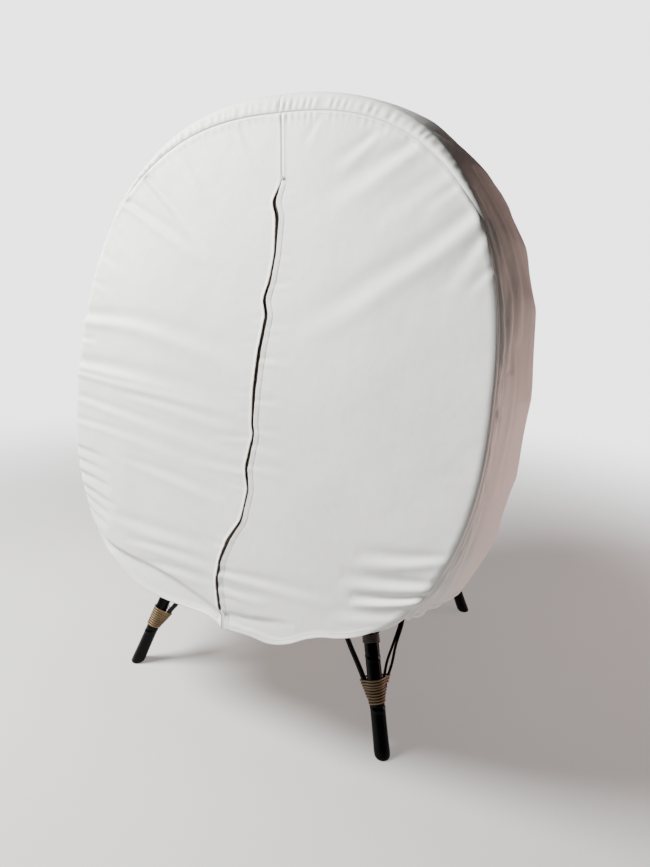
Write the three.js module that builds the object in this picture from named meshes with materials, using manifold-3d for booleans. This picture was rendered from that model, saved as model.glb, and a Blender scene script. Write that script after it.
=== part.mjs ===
// Portable steam sauna: a rattan pod on four splayed legs under a white zip-fronted cover,
// with a slatted floor, a bench seat and a steam pot inside.
// Millimetres, +Z up. The front faces -Y. The origin is on the ground, under the middle.
import * as THREE from 'three';
import { mergeVertices } from 'three/addons/utils/BufferGeometryUtils.js';
import Module from 'manifold-3d';

const wasm = await Module();
wasm.setup();

// ---- driving dimensions ----
const GAP = 0.5;                 // clearance between pieces that touch
const FABRIC = 4;                // thickness allowed for the cover cloth
const TILT = 10;                 // degrees the hoops lean back
const LEG_RADIUS = 20;
const LEG_TOP = 355;
const LEG_LEAN_X = 0.308;        // inward run per unit of height
const LEG_LEAN_Y = 0.313;
const FOOT = { x: 412, front: -398, back: 446 };
const CANE_RADIUS = 7;
const CROSS_RAIL = { radius: 14, z: 318.5, half: 384 };
const SIDE_RAIL = { radius: 13, x: 368, z: 346, front: -400, back: 420 };
const JOIST = { radius: 13, x: 220, front: -459, back: 226 };
const HOOP_RADIUS = 15;
const HOOP_BEHIND = 9;           // space between the front cloth and the front hoop
const BACK_HOOP_AHEAD = 9;       // how far the back hoop stands ahead of the back panel's rim
const ARCH_RADIUS = 13;
const ARCH_END = 143;            // degrees from the top to each foot of the middle arch
const HOOP_INSET = { front: 28, middle: 44, back: 24 };   // hoop centre inside the cover's outline
const STRINGER_RADIUS = 11;
const STRINGER_REACH = [0.075, 0.945];   // where a stringer starts and ends along the pod
const STRINGER_ANGLES = { upper: 38, side: 80, lower: 119 };   // degrees from the ridge
const BOW_RADIUS = 7;
// Where a cane leaves a leg: [height above the foot of the lashing, cane centre from leg centre].
const CROSS_CANE = [[4, 28.5], [34, 31], [62, 38], [110, 60], [158, 86]];
const SIDE_CANE = [[4, 28.5], [34, 33], [62, 47], [110, 78], [150, 110]];
const CROSS_BRACE_IN = 94;       // how far the middle of a cross brace is from its feet
const SIDE_CANE_TURN = 65;       // degrees from across the pod that the side cane leaves a leg
const LASHING = { low: 115, height: 62, topRadius: 49, bottomRadius: 25 };
const RAIL_LASHING = { low: 256, high: 279, inner: 21.6, outer: 25.5 };
const DECK = { front: -420, width: 115, gap: 15, halves: [366, 372, 372, 352, 325], thick: 16 };
const DECK_BOTTOM = SIDE_RAIL.z + SIDE_RAIL.radius + GAP;
const DECK_TOP = DECK_BOTTOM + DECK.thick;
const SEAT = { half: 240, front: -95, depth: 300, top: 600, board: 20, slat: 18, slats: 3, gap: 18 };
const CUSHION = { thick: 48, corner: 45, inset: 4 };
const STEAMER = { y: 60, width: 240, depth: 200, height: 55, corner: 30 };
const POT = { radius: 85, height: 100, wall: 3 };
const VENT = { radius: 9, out: 48, count: 4 };
const BUTTON = { radius: 8, x: -60, depth: 9, proud: 4 };
const DIAL = { radius: 17, x: 45, depth: 13 };
const LID_THICK = 4;
const ZIP = { width: 9, length: 22, depth: 5 };
const SLIT_TOP = 469;            // slit end above the front hoop's centre, up the slope
const SEAM_TURN = 0.12;          // degrees off the top at which the left and right cloth meet
const SLIT_GAP = 1;              // half the width of the slit
const FOLD_OUT = 445;            // where each door's fold line meets the hoop, from the middle
const BACK_DEPTH = 147.7;        // how far the back panel domes behind the back hoop
// Hem angle, degrees from the top: it climbs from the front corner, then drops again to the rear.
const HEM = { highest: 126, front: 15, fall: 0.08, rear: 11, from: 0.22, to: 0.75 };

// Three parallel sections of the cover. y and z place each middle; the rest are half sizes.
const STATIONS = [
  { at: 0, y: -402, z: 941, wide: 595, up: 680, down: 672, power: 2.4, lowPower: 2.4, egg: 0.034 },
  { at: 0.42, y: -100, z: 905, wide: 628, up: 718, down: 715, power: 2.4, lowPower: 2.8, egg: 0 },
  { at: 1, y: 340, z: 860, wide: 500, up: 570, down: 570, power: 2.4, lowPower: 2.4, egg: 0 },
];
const FRONT_HOOP_DROP = 40;      // how much the front hoop stays inside the cover's lower edge

// ---- colours ----
function finish(color, roughness, metalness = 0) {
  return new THREE.MeshStandardMaterial({ color, roughness, metalness });
}

const MATERIALS = {
  black_pole: finish('#0b0b10', 0.3),
  cane: finish('#15120f', 0.4),
  rattan_binding: finish('#a8875a', 0.6),
  dark_binding: finish('#4a3526', 0.6),
  cloth: finish('#e1e4de', 0.6),
  slat_wood: finish('#b78a58', 0.55),
  cushion_cloth: finish('#cfc8b8', 0.85),
  appliance: finish('#e8e6e0', 0.4),
  steel: finish('#c6c8ca', 0.25, 1),
  dark_plastic: finish('#26262a', 0.5),
  zip_metal: finish('#b9b7b0', 0.35, 1),
};

const root = new THREE.Group();
const radians = THREE.MathUtils.degToRad;
const vector = (x, y, z) => new THREE.Vector3(x, y, z);

function add(name, geometry, material) {
  const mesh = new THREE.Mesh(geometry, MATERIALS[material]);
  mesh.name = name;
  root.add(mesh);
}

// ---- solids ----
function toManifold(geometry) {
  const bare = geometry.clone();
  bare.deleteAttribute('normal');
  bare.deleteAttribute('uv');
  const merged = mergeVertices(bare, 1e-3);
  return new wasm.Manifold(new wasm.Mesh({
    numProp: 3,
    vertProperties: new Float32Array(merged.attributes.position.array),
    triVerts: new Uint32Array(merged.index.array),
  }));
}

function toGeometry(solid) {
  const mesh = solid.getMesh();
  const geometry = new THREE.BufferGeometry();
  geometry.setAttribute('position', new THREE.BufferAttribute(new Float32Array(mesh.vertProperties), 3));
  geometry.setIndex(new THREE.BufferAttribute(new Uint32Array(mesh.triVerts), 1));
  return geometry;
}

function cut(geometry, tools) {
  let solid = toManifold(geometry);
  for (const tool of tools) solid = solid.subtract(toManifold(tool));
  return toGeometry(solid);
}

function disc(radius, sides) {
  const shape = new THREE.Shape();
  shape.absarc(0, 0, radius, 0, Math.PI * 2, false);
  const points = shape.getSpacedPoints(sides).slice(0, sides);
  return new THREE.Shape(points);
}

function bentPole(points, radius, steps, sides = 6) {
  const path = new THREE.CatmullRomCurve3(points, false, 'centripetal');
  return new THREE.ExtrudeGeometry(disc(radius, sides), { extrudePath: path, steps, bevelEnabled: false });
}

function straightPole(from, to, radius, sides = 8) {
  const length = from.distanceTo(to);
  const geometry = new THREE.CylinderGeometry(radius, radius, length, sides);
  const turn = new THREE.Quaternion().setFromUnitVectors(vector(0, 1, 0), to.clone().sub(from).normalize());
  geometry.applyQuaternion(turn);
  const middle = from.clone().add(to).multiplyScalar(0.5);
  return geometry.translate(middle.x, middle.y, middle.z);
}

function block(width, depth, height, x, y, z) {
  return new THREE.BoxGeometry(width, depth, height).translate(x, y, z);
}

function turned(profile, sides) {
  const points = profile.map(([radius, height]) => new THREE.Vector2(radius, height));
  return new THREE.LatheGeometry(points, sides).rotateX(Math.PI / 2);
}

// A sheet of cloth: a thin slab bent so that (across, along, depth), each 0 to 1, land where place says.
function bentSheet(acrossSteps, alongSteps, place) {
  const slab = new THREE.BoxGeometry(1, 1, 1, acrossSteps, alongSteps, 1);
  const spots = slab.attributes.position;
  for (let i = 0; i < spots.count; i += 1) {
    const spot = place(spots.getX(i) + 0.5, spots.getY(i) + 0.5, spots.getZ(i) + 0.5);
    spots.setXYZ(i, spot.x, spot.y, spot.z);
  }
  return slab;
}

// ---- the pod's shape ----
function blendStations(key, at) {
  const [a, b, c] = STATIONS;
  const wa = ((at - b.at) * (at - c.at)) / ((a.at - b.at) * (a.at - c.at));
  const wb = ((at - a.at) * (at - c.at)) / ((b.at - a.at) * (b.at - c.at));
  const wc = ((at - a.at) * (at - b.at)) / ((c.at - a.at) * (c.at - b.at));
  return a[key] * wa + b[key] * wb + c[key] * wc;
}

function section(at) {
  const result = {};
  for (const key of Object.keys(STATIONS[0])) result[key] = blendStations(key, at);
  return result;
}

// A point in a section's own plane: angle 0 is the top, 90 is the +X side.
function outlinePoint(shape, angle, inset = 0, drop = 0) {
  const sine = Math.sin(radians(angle));
  const cosine = Math.cos(radians(angle));
  const power = cosine >= 0 ? shape.power : shape.lowPower;
  const height = cosine >= 0 ? shape.up - inset : shape.down - inset - drop;
  const rise = Math.sign(cosine) * height * Math.abs(cosine) ** (2 / power);
  const side = Math.sign(sine) * (shape.wide - inset) * Math.abs(sine) ** (2 / power);
  return new THREE.Vector2(side * (1 - (shape.egg * rise) / height), rise);
}

// From a section's plane into the pod: forward is along the hoop's own axis.
function inSpace(shape, point, forward = 0) {
  const sine = Math.sin(radians(TILT));
  const cosine = Math.cos(radians(TILT));
  const y = shape.y + point.y * sine - forward * cosine;
  const z = shape.z + point.y * cosine + forward * sine;
  return vector(point.x, y, z);
}

function hemAngle(at) {
  const drop = HEM.rear * THREE.MathUtils.smoothstep(at, HEM.from, HEM.to);
  return HEM.highest + HEM.front * Math.exp(-at / HEM.fall) + drop;
}

function skinPoint(at, angle, inset) {
  const shape = section(at);
  return inSpace(shape, outlinePoint(shape, angle, inset));
}

// ---- base ----
const SIDES = [['left', -1], ['right', 1]];
const ENDS = [['front', FOOT.front, 1], ['back', FOOT.back, -1]];

function legCentre(side, footY, inward, z) {
  return vector(side * (FOOT.x - LEG_LEAN_X * z), footY + inward * LEG_LEAN_Y * z, z);
}

function leanWithLeg(geometry, side, footY, inward) {
  const lean = new THREE.Matrix4().set(
    1, 0, -side * LEG_LEAN_X, side * FOOT.x,
    0, 1, inward * LEG_LEAN_Y, footY,
    0, 0, 1, 0,
    0, 0, 0, 1,
  );
  return geometry.applyMatrix4(lean);
}

function upright(lowRadius, highRadius, low, high, sides = 10) {
  const geometry = new THREE.CylinderGeometry(highRadius, lowRadius, high - low, sides);
  return geometry.rotateX(Math.PI / 2).translate(0, 0, (low + high) / 2);
}

// The end of a bent cane, from its foot beside the leg up to where it leaves the lashing.
function caneEnd(spots, side, footY, inward, away) {
  return spots.map(([up, out]) => {
    const centre = legCentre(side, footY, inward, LASHING.low + up);
    return centre.add(away.clone().multiplyScalar(out));
  });
}

function crossBrace(footY, inward) {
  const left = caneEnd(CROSS_CANE, -1, footY, inward, vector(1, 0, 0));
  const right = caneEnd(CROSS_CANE, 1, footY, inward, vector(-1, 0, 0));
  const y = footY + inward * CROSS_BRACE_IN;
  const middle = [vector(-170, y, 301), vector(0, y, 309), vector(170, y, 301)];
  return [...left, ...middle, ...right.reverse()];
}

function sideBrace(side) {
  const across = side * Math.cos(radians(SIDE_CANE_TURN));
  const along = Math.sin(radians(SIDE_CANE_TURN));
  const front = caneEnd(SIDE_CANE, side, FOOT.front, 1, vector(across, along, 0));
  const back = caneEnd(SIDE_CANE, side, FOOT.back, -1, vector(across, -along, 0));
  const x = side * (SIDE_RAIL.x + 4);
  const middle = [vector(x, -170, 307), vector(x, 24, 318), vector(x, 210, 307)];
  return [...front, ...middle, ...back.reverse()];
}

const BRACE_PATHS = {
  brace_front: crossBrace(FOOT.front, 1),
  brace_back: crossBrace(FOOT.back, -1),
  brace_left: sideBrace(-1),
  brace_right: sideBrace(1),
};

function addLegs() {
  for (const [endName, footY, inward] of ENDS) {
    for (const [sideName, side] of SIDES) {
      const leg = upright(LEG_RADIUS, LEG_RADIUS, 0, LEG_TOP);
      add(`leg_${endName}_${sideName}`, leanWithLeg(leg, side, footY, inward), 'black_pole');
      addLashing(endName, sideName, side, footY, inward);
      addRailLashing(endName, sideName, side, footY, inward);
    }
  }
}

function addLashing(endName, sideName, side, footY, inward) {
  const { low, height, bottomRadius, topRadius } = LASHING;
  const cone = upright(bottomRadius, topRadius, low, low + height, 12);
  const wrap = leanWithLeg(cone, side, footY, inward);
  const loose = LEG_RADIUS + 2 * GAP;
  const leg = leanWithLeg(upright(loose, loose, low - 30, low + 100), side, footY, inward);
  const canes = [`brace_${endName}`, `brace_${sideName}`];
  const slots = canes.map((name) => bentPole(BRACE_PATHS[name], CANE_RADIUS + 2 * GAP, 40, 6));
  add(`lashing_${endName}_${sideName}`, cut(wrap, [leg, ...slots]), 'rattan_binding');
}

function addRailLashing(endName, sideName, side, footY, inward) {
  const { low, high, inner, outer } = RAIL_LASHING;
  const ring = turned([[inner, low], [outer, low], [outer, high], [inner, high], [inner, low]], 10);
  add(`rail_lashing_${endName}_${sideName}`, leanWithLeg(ring, side, footY, inward), 'dark_binding');
}

function addRails() {
  for (const [endName, footY, inward] of ENDS) {
    const leg = legCentre(1, footY, inward, CROSS_RAIL.z);
    const y = leg.y + inward * (LEG_RADIUS + CROSS_RAIL.radius + 3 * GAP);
    const from = vector(-CROSS_RAIL.half, y, CROSS_RAIL.z);
    const to = vector(CROSS_RAIL.half, y, CROSS_RAIL.z);
    add(`cross_rail_${endName}`, straightPole(from, to, CROSS_RAIL.radius), 'black_pole');
  }
  for (const [sideName, side] of SIDES) {
    const { radius, x, z, front, back } = SIDE_RAIL;
    const rail = straightPole(vector(side * x, front, z), vector(side * x, back, z), radius);
    add(`side_rail_${sideName}`, rail, 'black_pole');
    const joistFront = vector(side * JOIST.x, JOIST.front, z);
    const joistBack = vector(side * JOIST.x, JOIST.back, z);
    add(`floor_joist_${sideName}`, straightPole(joistFront, joistBack, JOIST.radius), 'black_pole');
  }
}

function addBraces() {
  for (const [name, points] of Object.entries(BRACE_PATHS)) {
    add(name, bentPole(points, CANE_RADIUS, 40, 6), 'cane');
  }
}

// ---- pod frame ----
function hoopPath(shape, start, end, count, inset, drop, back) {
  const points = [];
  for (let i = 0; i <= count; i += 1) {
    const angle = start + ((end - start) * i) / count;
    points.push(inSpace(shape, outlinePoint(shape, angle, inset, drop), -back));
  }
  return points;
}

function addHoops() {
  const [front, middle, back] = STATIONS;
  const join = 0.35;             // degrees left open where a bent pole's two ends meet
  const behind = FABRIC + HOOP_RADIUS + HOOP_BEHIND;
  const frontPath = hoopPath(front, 180 + join, 540 - join, 32, HOOP_INSET.front, FRONT_HOOP_DROP, behind);
  add('hoop_front', bentPole(frontPath, HOOP_RADIUS, 40), 'black_pole');
  const middlePath = hoopPath(middle, -ARCH_END, ARCH_END, 28, HOOP_INSET.middle, 0, 0);
  add('arch_middle', bentPole(middlePath, ARCH_RADIUS, 36), 'black_pole');
  const backPath = hoopPath(back, 180 + join, 540 - join, 32, HOOP_INSET.back, 0, -BACK_HOOP_AHEAD);
  add('hoop_back', bentPole(backPath, ARCH_RADIUS, 40), 'black_pole');
}

function domeDepth(reach) {
  return BACK_DEPTH * (1 - Math.abs(reach) ** 2.4) ** 0.75;
}

// Two thin bows cross behind the back hoop and hold the back panel out.
function addBackBows() {
  const back = STATIONS[2];
  const end = 0.935;
  const bows = [['vertical', 0, back.up, 18], ['horizontal', back.wide, 0, 18 + 2 * BOW_RADIUS + 1]];
  for (const [label, across, up, inside] of bows) {
    const points = [];
    for (let i = -6; i <= 6; i += 1) {
      const reach = (end * i) / 6;
      const spot = new THREE.Vector2(across * reach, up * reach);
      points.push(inSpace(back, spot, -Math.max(2 * BOW_RADIUS, domeDepth(reach) - inside)));
    }
    add(`bow_${label}`, bentPole(points, BOW_RADIUS, 18), 'cane');
  }
}

function addStringer(label, angle) {
  const [start, end] = STRINGER_REACH;
  const points = [];
  for (let i = 0; i <= 8; i += 1) {
    const at = start + (end - start) * (i / 8);
    points.push(skinPoint(at, angle, STRINGER_RADIUS + FABRIC + 5));
  }
  add(`stringer_${label}`, bentPole(points, STRINGER_RADIUS, 14), 'black_pole');
}

function addStringers() {
  addStringer('ridge', 0);
  for (const [label, angle] of Object.entries(STRINGER_ANGLES)) {
    for (const [sideName, side] of SIDES) addStringer(`${label}_${sideName}`, side * angle);
  }
}

// ---- floor, seat ----
function addFloor() {
  DECK.halves.forEach((half, i) => {
    const y = DECK.front + DECK.width / 2 + i * (DECK.width + DECK.gap);
    const slat = block(half * 2, DECK.width, DECK.thick, 0, y, DECK_BOTTOM + DECK.thick / 2);
    add(`floor_slat_${i + 1}`, slat, 'slat_wood');
  });
}

function roundedRectangle(width, depth, corner) {
  const x = width / 2;
  const y = depth / 2;
  const shape = new THREE.Shape();
  shape.moveTo(-x + corner, -y);
  shape.lineTo(x - corner, -y);
  shape.absarc(x - corner, -y + corner, corner, -Math.PI / 2, 0, false);
  shape.absarc(x - corner, y - corner, corner, 0, Math.PI / 2, false);
  shape.absarc(-x + corner, y - corner, corner, Math.PI / 2, Math.PI, false);
  shape.absarc(-x + corner, -y + corner, corner, Math.PI, Math.PI * 1.5, false);
  return shape;
}

function extrudeUp(shape, height, options = {}) {
  const settings = { depth: height, bevelEnabled: false, curveSegments: 4, ...options };
  return new THREE.ExtrudeGeometry(shape, settings);
}

function addSeat() {
  const middleY = SEAT.front + SEAT.depth / 2;
  const base = DECK_TOP + GAP;
  for (const [sideName, side] of SIDES) {
    const x = side * (SEAT.half - SEAT.board);
    const board = block(SEAT.board, SEAT.depth, SEAT.top - base, x, middleY, (SEAT.top + base) / 2);
    add(`seat_end_${sideName}`, board, 'slat_wood');
  }
  const width = (SEAT.depth - SEAT.gap * (SEAT.slats - 1)) / SEAT.slats;
  for (let i = 0; i < SEAT.slats; i += 1) {
    const y = SEAT.front + width / 2 + i * (width + SEAT.gap);
    const z = SEAT.top + GAP + SEAT.slat / 2;
    add(`seat_slat_${i + 1}`, block(SEAT.half * 2, width, SEAT.slat, 0, y, z), 'slat_wood');
  }
  const { inset, corner } = CUSHION;
  const outline = roundedRectangle(SEAT.half * 2 - inset, SEAT.depth - inset, corner);
  const cushion = extrudeUp(outline, CUSHION.thick).translate(0, middleY, SEAT.top + SEAT.slat + 3 * GAP);
  add('seat_cushion', cushion, 'cushion_cloth');
}

// ---- steam pot ----
function addSteamer() {
  const base = DECK_TOP + GAP;
  const top = base + STEAMER.height;
  const face = STEAMER.y - STEAMER.depth / 2;
  const control = base + STEAMER.height / 2;
  const outline = roundedRectangle(STEAMER.width, STEAMER.depth, STEAMER.corner);
  const body = extrudeUp(outline, STEAMER.height);
  body.translate(0, STEAMER.y, base);
  const along = (radius, from, to, x) => {
    return straightPole(vector(x, from, control), vector(x, to, control), radius, 16);
  };
  const pocket = along(BUTTON.radius + 1, face - 2, face + BUTTON.depth, BUTTON.x);
  add('steamer_base', cut(body, [pocket]), 'appliance');
  const button = along(BUTTON.radius, face - BUTTON.proud, face + BUTTON.depth - 3, BUTTON.x);
  add('steamer_button', button, 'dark_plastic');
  add('steamer_dial', along(DIAL.radius, face - DIAL.depth - GAP, face - GAP, DIAL.x), 'dark_plastic');
  addPot(top + GAP);
  addInlet(STEAMER.y + STEAMER.depth / 2, control);
}

function addPot(low) {
  const { radius, height, wall } = POT;
  const profile = [
    [0, 0], [radius - 6, 0], [radius, 6], [radius, height],
    [radius - wall, height], [radius - wall, wall], [0, wall],
  ];
  add('steamer_pot', turned(profile, 20).translate(0, STEAMER.y, low), 'steel');
  const lidShape = disc(radius + 2, 20);
  for (let i = 0; i < VENT.count; i += 1) {
    const angle = (i + 0.5) * ((2 * Math.PI) / VENT.count);
    const vent = new THREE.Path();
    vent.absarc(VENT.out * Math.cos(angle), VENT.out * Math.sin(angle), VENT.radius, 0, Math.PI * 2, true);
    lidShape.holes.push(vent);
  }
  const lidLow = low + height + GAP;
  add('steamer_lid', extrudeUp(lidShape, LID_THICK).translate(0, STEAMER.y, lidLow), 'steel');
  const knob = turned([[0, 0], [9, 0], [9, 8], [16, 12], [16, 20], [11, 24], [0, 24]], 12);
  add('lid_knob', knob.translate(0, STEAMER.y, lidLow + LID_THICK + GAP), 'dark_plastic');
}

function addInlet(face, z) {
  const plate = block(34, 8, 26, 0, face + 4 + GAP, z);
  const recess = block(26, 8, 18, 0, face + 4 + GAP + 3, z);
  add('power_inlet', cut(plate, [recess]), 'dark_plastic');
}

// ---- cover ----
function addSidePanels() {
  const startAt = 0.012;
  const endAt = 0.985;
  for (const [sideName, side] of SIDES) {
    const place = (across, along, depth) => {
      const at = startAt + (endAt - startAt) * (1 - across);
      const turn = SEAM_TURN + (hemAngle(at) - SEAM_TURN) * (side > 0 ? along : 1 - along);
      return skinPoint(at, side * turn, FABRIC * (1 - depth));
    };
    add(`side_panel_${sideName}`, bentSheet(9, 20, place), 'cloth');
  }
}

function frontOutline(from, to, side, steps) {
  const points = [];
  for (let i = 0; i <= steps; i += 1) {
    const angle = from + ((to - from) * i) / steps;
    const point = outlinePoint(STATIONS[0], angle, 0);
    points.push(new THREE.Vector2(side * point.x, point.y));
  }
  return points;
}

function onFrontPlane(shape) {
  const sheet = extrudeUp(shape, FABRIC);
  const sine = Math.sin(radians(TILT));
  const cosine = Math.cos(radians(TILT));
  const { y, z } = STATIONS[0];
  const place = new THREE.Matrix4().set(
    1, 0, 0, 0,
    0, sine, -cosine, y + FABRIC * cosine,
    0, cosine, sine, z - FABRIC * sine,
    0, 0, 0, 1,
  );
  return sheet.applyMatrix4(place);
}

// The angle round the front outline at which the fold line ends.
function foldAngle() {
  const front = STATIONS[0];
  let low = 100;
  let high = 178;
  for (let i = 0; i < 40; i += 1) {
    const middle = (low + high) / 2;
    if (outlinePoint(front, middle).x > FOLD_OUT) low = middle;
    else high = middle;
  }
  return low;
}

function addFrontPanels() {
  const fold = foldAngle();
  const split = 0.35;            // degrees of outline left open at the fold and the seams
  for (const [sideName, side] of SIDES) {
    const outer = frontOutline(SEAM_TURN, fold - split, side, 18);
    const seamTop = new THREE.Vector2(side * SLIT_GAP, SLIT_TOP + 6);
    const fixed = new THREE.Shape([...outer, seamTop]);
    add(`front_panel_${sideName}`, onFrontPlane(fixed), 'cloth');
    const lower = frontOutline(fold + split, 180 - 0.02, side, 8);
    lower[lower.length - 1].x = side * SLIT_GAP;
    const slitTop = new THREE.Vector2(side * SLIT_GAP, SLIT_TOP - 12);
    const flap = new THREE.Shape([...lower, slitTop]);
    add(`door_flap_${sideName}`, onFrontPlane(flap), 'cloth');
  }
}

function addBackPanel() {
  const back = STATIONS[2];
  const place = (across, along, depth) => {
    const a = 1 - across * 2;
    const b = along * 2 - 1;
    const x = a * Math.sqrt(1 - (b * b) / 2);
    const y = b * Math.sqrt(1 - (a * a) / 2);
    const reach = Math.min(1, Math.hypot(x, y));
    const rim = outlinePoint(back, THREE.MathUtils.radToDeg(Math.atan2(x, y)), 0);
    const spot = rim.multiplyScalar(reach * 0.997);
    return inSpace(back, spot, -(domeDepth(reach) + 1 + FABRIC * depth));
  };
  add('back_panel', bentSheet(12, 12, place), 'cloth');
}

function addZipSlider() {
  const front = STATIONS[0];
  const shape = roundedRectangle(ZIP.width, ZIP.length, 3);
  const slider = extrudeUp(shape, ZIP.depth, { curveSegments: 2 });
  slider.translate(ZIP.width / 2 + 1, 0, 0);
  slider.rotateX(Math.PI / 2 - radians(TILT));
  const seat = inSpace(front, new THREE.Vector2(0, -front.down + 45), -(FABRIC + ZIP.depth + 1));
  slider.translate(seat.x, seat.y, seat.z);
  add('zip_slider', slider, 'zip_metal');
}

addLegs();
addRails();
addBraces();
addHoops();
addBackBows();
addStringers();
addFloor();
addSeat();
addSteamer();
addSidePanels();
addFrontPanels();
addBackPanel();
addZipSlider();

export default root;
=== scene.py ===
"""Portable steam sauna: a rattan pod under a white cover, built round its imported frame.

Metres, +Z up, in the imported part's own frame. The front faces -Y and the right side is +X.
Cover measures: `turn` is the direction round the pod, 0 at the top and +90 degrees at the right side;
`inward` is the distance from the front edge, in on the front face and, when negative, back along the side;
`x` and `s` are places on the front face, s up the slope from the middle of the front hoop.
"""
import math

import bpy
import numpy as np
from mathutils import Matrix, Vector


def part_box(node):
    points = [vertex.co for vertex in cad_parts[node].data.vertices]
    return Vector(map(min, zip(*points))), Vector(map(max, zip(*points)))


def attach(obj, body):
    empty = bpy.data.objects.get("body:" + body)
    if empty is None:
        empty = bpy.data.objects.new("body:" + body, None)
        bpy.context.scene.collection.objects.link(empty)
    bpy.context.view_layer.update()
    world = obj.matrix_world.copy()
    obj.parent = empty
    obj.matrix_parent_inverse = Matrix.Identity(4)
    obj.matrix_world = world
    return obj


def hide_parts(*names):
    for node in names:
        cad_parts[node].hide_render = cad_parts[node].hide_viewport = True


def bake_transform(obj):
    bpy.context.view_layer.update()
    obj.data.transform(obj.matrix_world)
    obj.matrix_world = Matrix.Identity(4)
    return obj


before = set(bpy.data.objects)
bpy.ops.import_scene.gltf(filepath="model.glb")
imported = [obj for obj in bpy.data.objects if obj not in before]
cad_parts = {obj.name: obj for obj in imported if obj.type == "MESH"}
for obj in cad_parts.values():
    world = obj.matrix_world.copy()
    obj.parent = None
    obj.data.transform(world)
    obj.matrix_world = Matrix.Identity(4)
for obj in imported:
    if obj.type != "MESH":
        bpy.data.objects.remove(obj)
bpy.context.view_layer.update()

# ---- driving dimensions, as the CAD has them ----
TILT = math.radians(10)
FORWARD = np.array([0.0, -math.cos(TILT), math.sin(TILT)])
UPSLOPE = np.array([0.0, math.sin(TILT), math.cos(TILT)])
STATIONS = [
    dict(at=0.0, y=-0.402, z=0.941, wide=0.595, up=0.680, down=0.672, power=2.4, low_power=2.4, egg=0.034),
    dict(at=0.42, y=-0.100, z=0.905, wide=0.628, up=0.718, down=0.715, power=2.4, low_power=2.8, egg=0.0),
    dict(at=1.0, y=0.340, z=0.860, wide=0.500, up=0.570, down=0.570, power=2.4, low_power=2.4, egg=0.0),
]
FOOT = dict(x=0.412, front=-0.398, back=0.446)
LEAN = dict(x=0.308, y=0.313)
LEG_RADIUS = 0.020
LEG_TOP = 0.355
CANE_RADIUS = 0.007
LASHING_LOW = 0.115
LASHING_HEIGHT = 0.062
SIDE_CANE_TURN = math.radians(65)
BACK_DEPTH = 0.1477
HEM = dict(highest=126, front=15, fall=0.08, rear=11, start=0.22, end=0.75)
SIDE_END = 0.985

# ---- measures of the Blender model alone ----
CORNER = 0.014            # radius at which the cover turns from the front face to the side
CLOTH = 0.0012            # thickness of the cover cloth
HEM_EXTRA = 1.2           # how much thicker the cloth is where it is turned over, as a share
REAR_SEAM_AT = SIDE_END + 0.012     # how far along the pod the side cloth meets the back
SIDE_ROOM = 0.0064        # how far the side cloth can sink before it meets the poles
FRONT_ROOM = 0.0108       # and the front cloth
SLIDER_BACK = 0.0045      # how far the slider lies behind its solid, clear of the folds in the cloth
SLIDER_ROOM = 0.0040      # how far behind the slider's middle a tape lies where they cross
ROUND_RADIUS = 0.62       # turns an angle round the pod into a length of cloth
UP = np.array([0.0, 0.0, 1.0])
RIGHT, LEFT = 1, -1
SIDE_NAMES = {RIGHT: "right", LEFT: "left"}
# The y of each end's feet, and the way along y from them to the middle.
ENDS = {"front": (FOOT["front"], 1), "back": (FOOT["back"], -1)}
FLOOR_SLATS, SEAT_SLATS = 5, 3
LAST_SCREWED = 0.24       # floor boards that end farther back have no screws
CLOTH_FRAMES = 20         # of the simulation that blows up the cushion


# ---- camera and light ----
CAMERA_PLACE = (0.8242, -1.6544, 1.1487)
CAMERA_HEADING, CAMERA_DOWN, CAMERA_ROLL = 26.02, 13.17, 2.36     # degrees
CAMERA_LENS, CAMERA_SENSOR = 24.92, 36.0                          # millimetres
BACKDROP_STRENGTH = 3.2   # of the world that the camera sees
SOFT_STRENGTH = 0.035     # of the world that lights the object


def make_camera():
    data = bpy.data.cameras.new("camera")
    data.lens, data.sensor_width = CAMERA_LENS, CAMERA_SENSOR
    camera = bpy.data.objects.new("camera", data)
    bpy.context.scene.collection.objects.link(camera)
    turns = [(CAMERA_HEADING, "Z"), (90 - CAMERA_DOWN, "X"), (CAMERA_ROLL, "Z")]
    heading, pitch, roll = (Matrix.Rotation(math.radians(angle), 4, axis) for angle, axis in turns)
    camera.matrix_world = Matrix.Translation(CAMERA_PLACE) @ (heading @ pitch @ roll)
    bpy.context.scene.camera = camera


def area_light(name, place, target, size, power, colour):
    data = bpy.data.lights.new(name, "AREA")
    data.shape = "DISK"
    data.size = size
    data.energy = power
    data.color = colour
    light = bpy.data.objects.new(name, data)
    bpy.context.scene.collection.objects.link(light)
    light.location = place
    light.rotation_euler = (Vector(target) - Vector(place)).to_track_quat("-Z", "Y").to_euler()


def make_world():
    """A bright backdrop for the camera, and a much weaker light from all round for the object."""
    world = bpy.data.worlds.new("studio")
    bpy.context.scene.world = world
    world.use_nodes = True
    tree = world.node_tree
    tree.nodes.clear()

    def background(colour, strength):
        made = tree.nodes.new("ShaderNodeBackground")
        made.inputs["Color"].default_value = (*colour, 1)
        made.inputs["Strength"].default_value = strength
        return made

    seen = background((0.98, 0.98, 0.98), BACKDROP_STRENGTH)
    soft = background((1.0, 0.97, 0.95), SOFT_STRENGTH)
    path = tree.nodes.new("ShaderNodeLightPath")
    mix = tree.nodes.new("ShaderNodeMixShader")
    output = tree.nodes.new("ShaderNodeOutputWorld")
    tree.links.new(path.outputs["Is Camera Ray"], mix.inputs["Fac"])
    tree.links.new(soft.outputs[0], mix.inputs[1])
    tree.links.new(seen.outputs[0], mix.inputs[2])
    tree.links.new(mix.outputs[0], output.inputs["Surface"])


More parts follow.
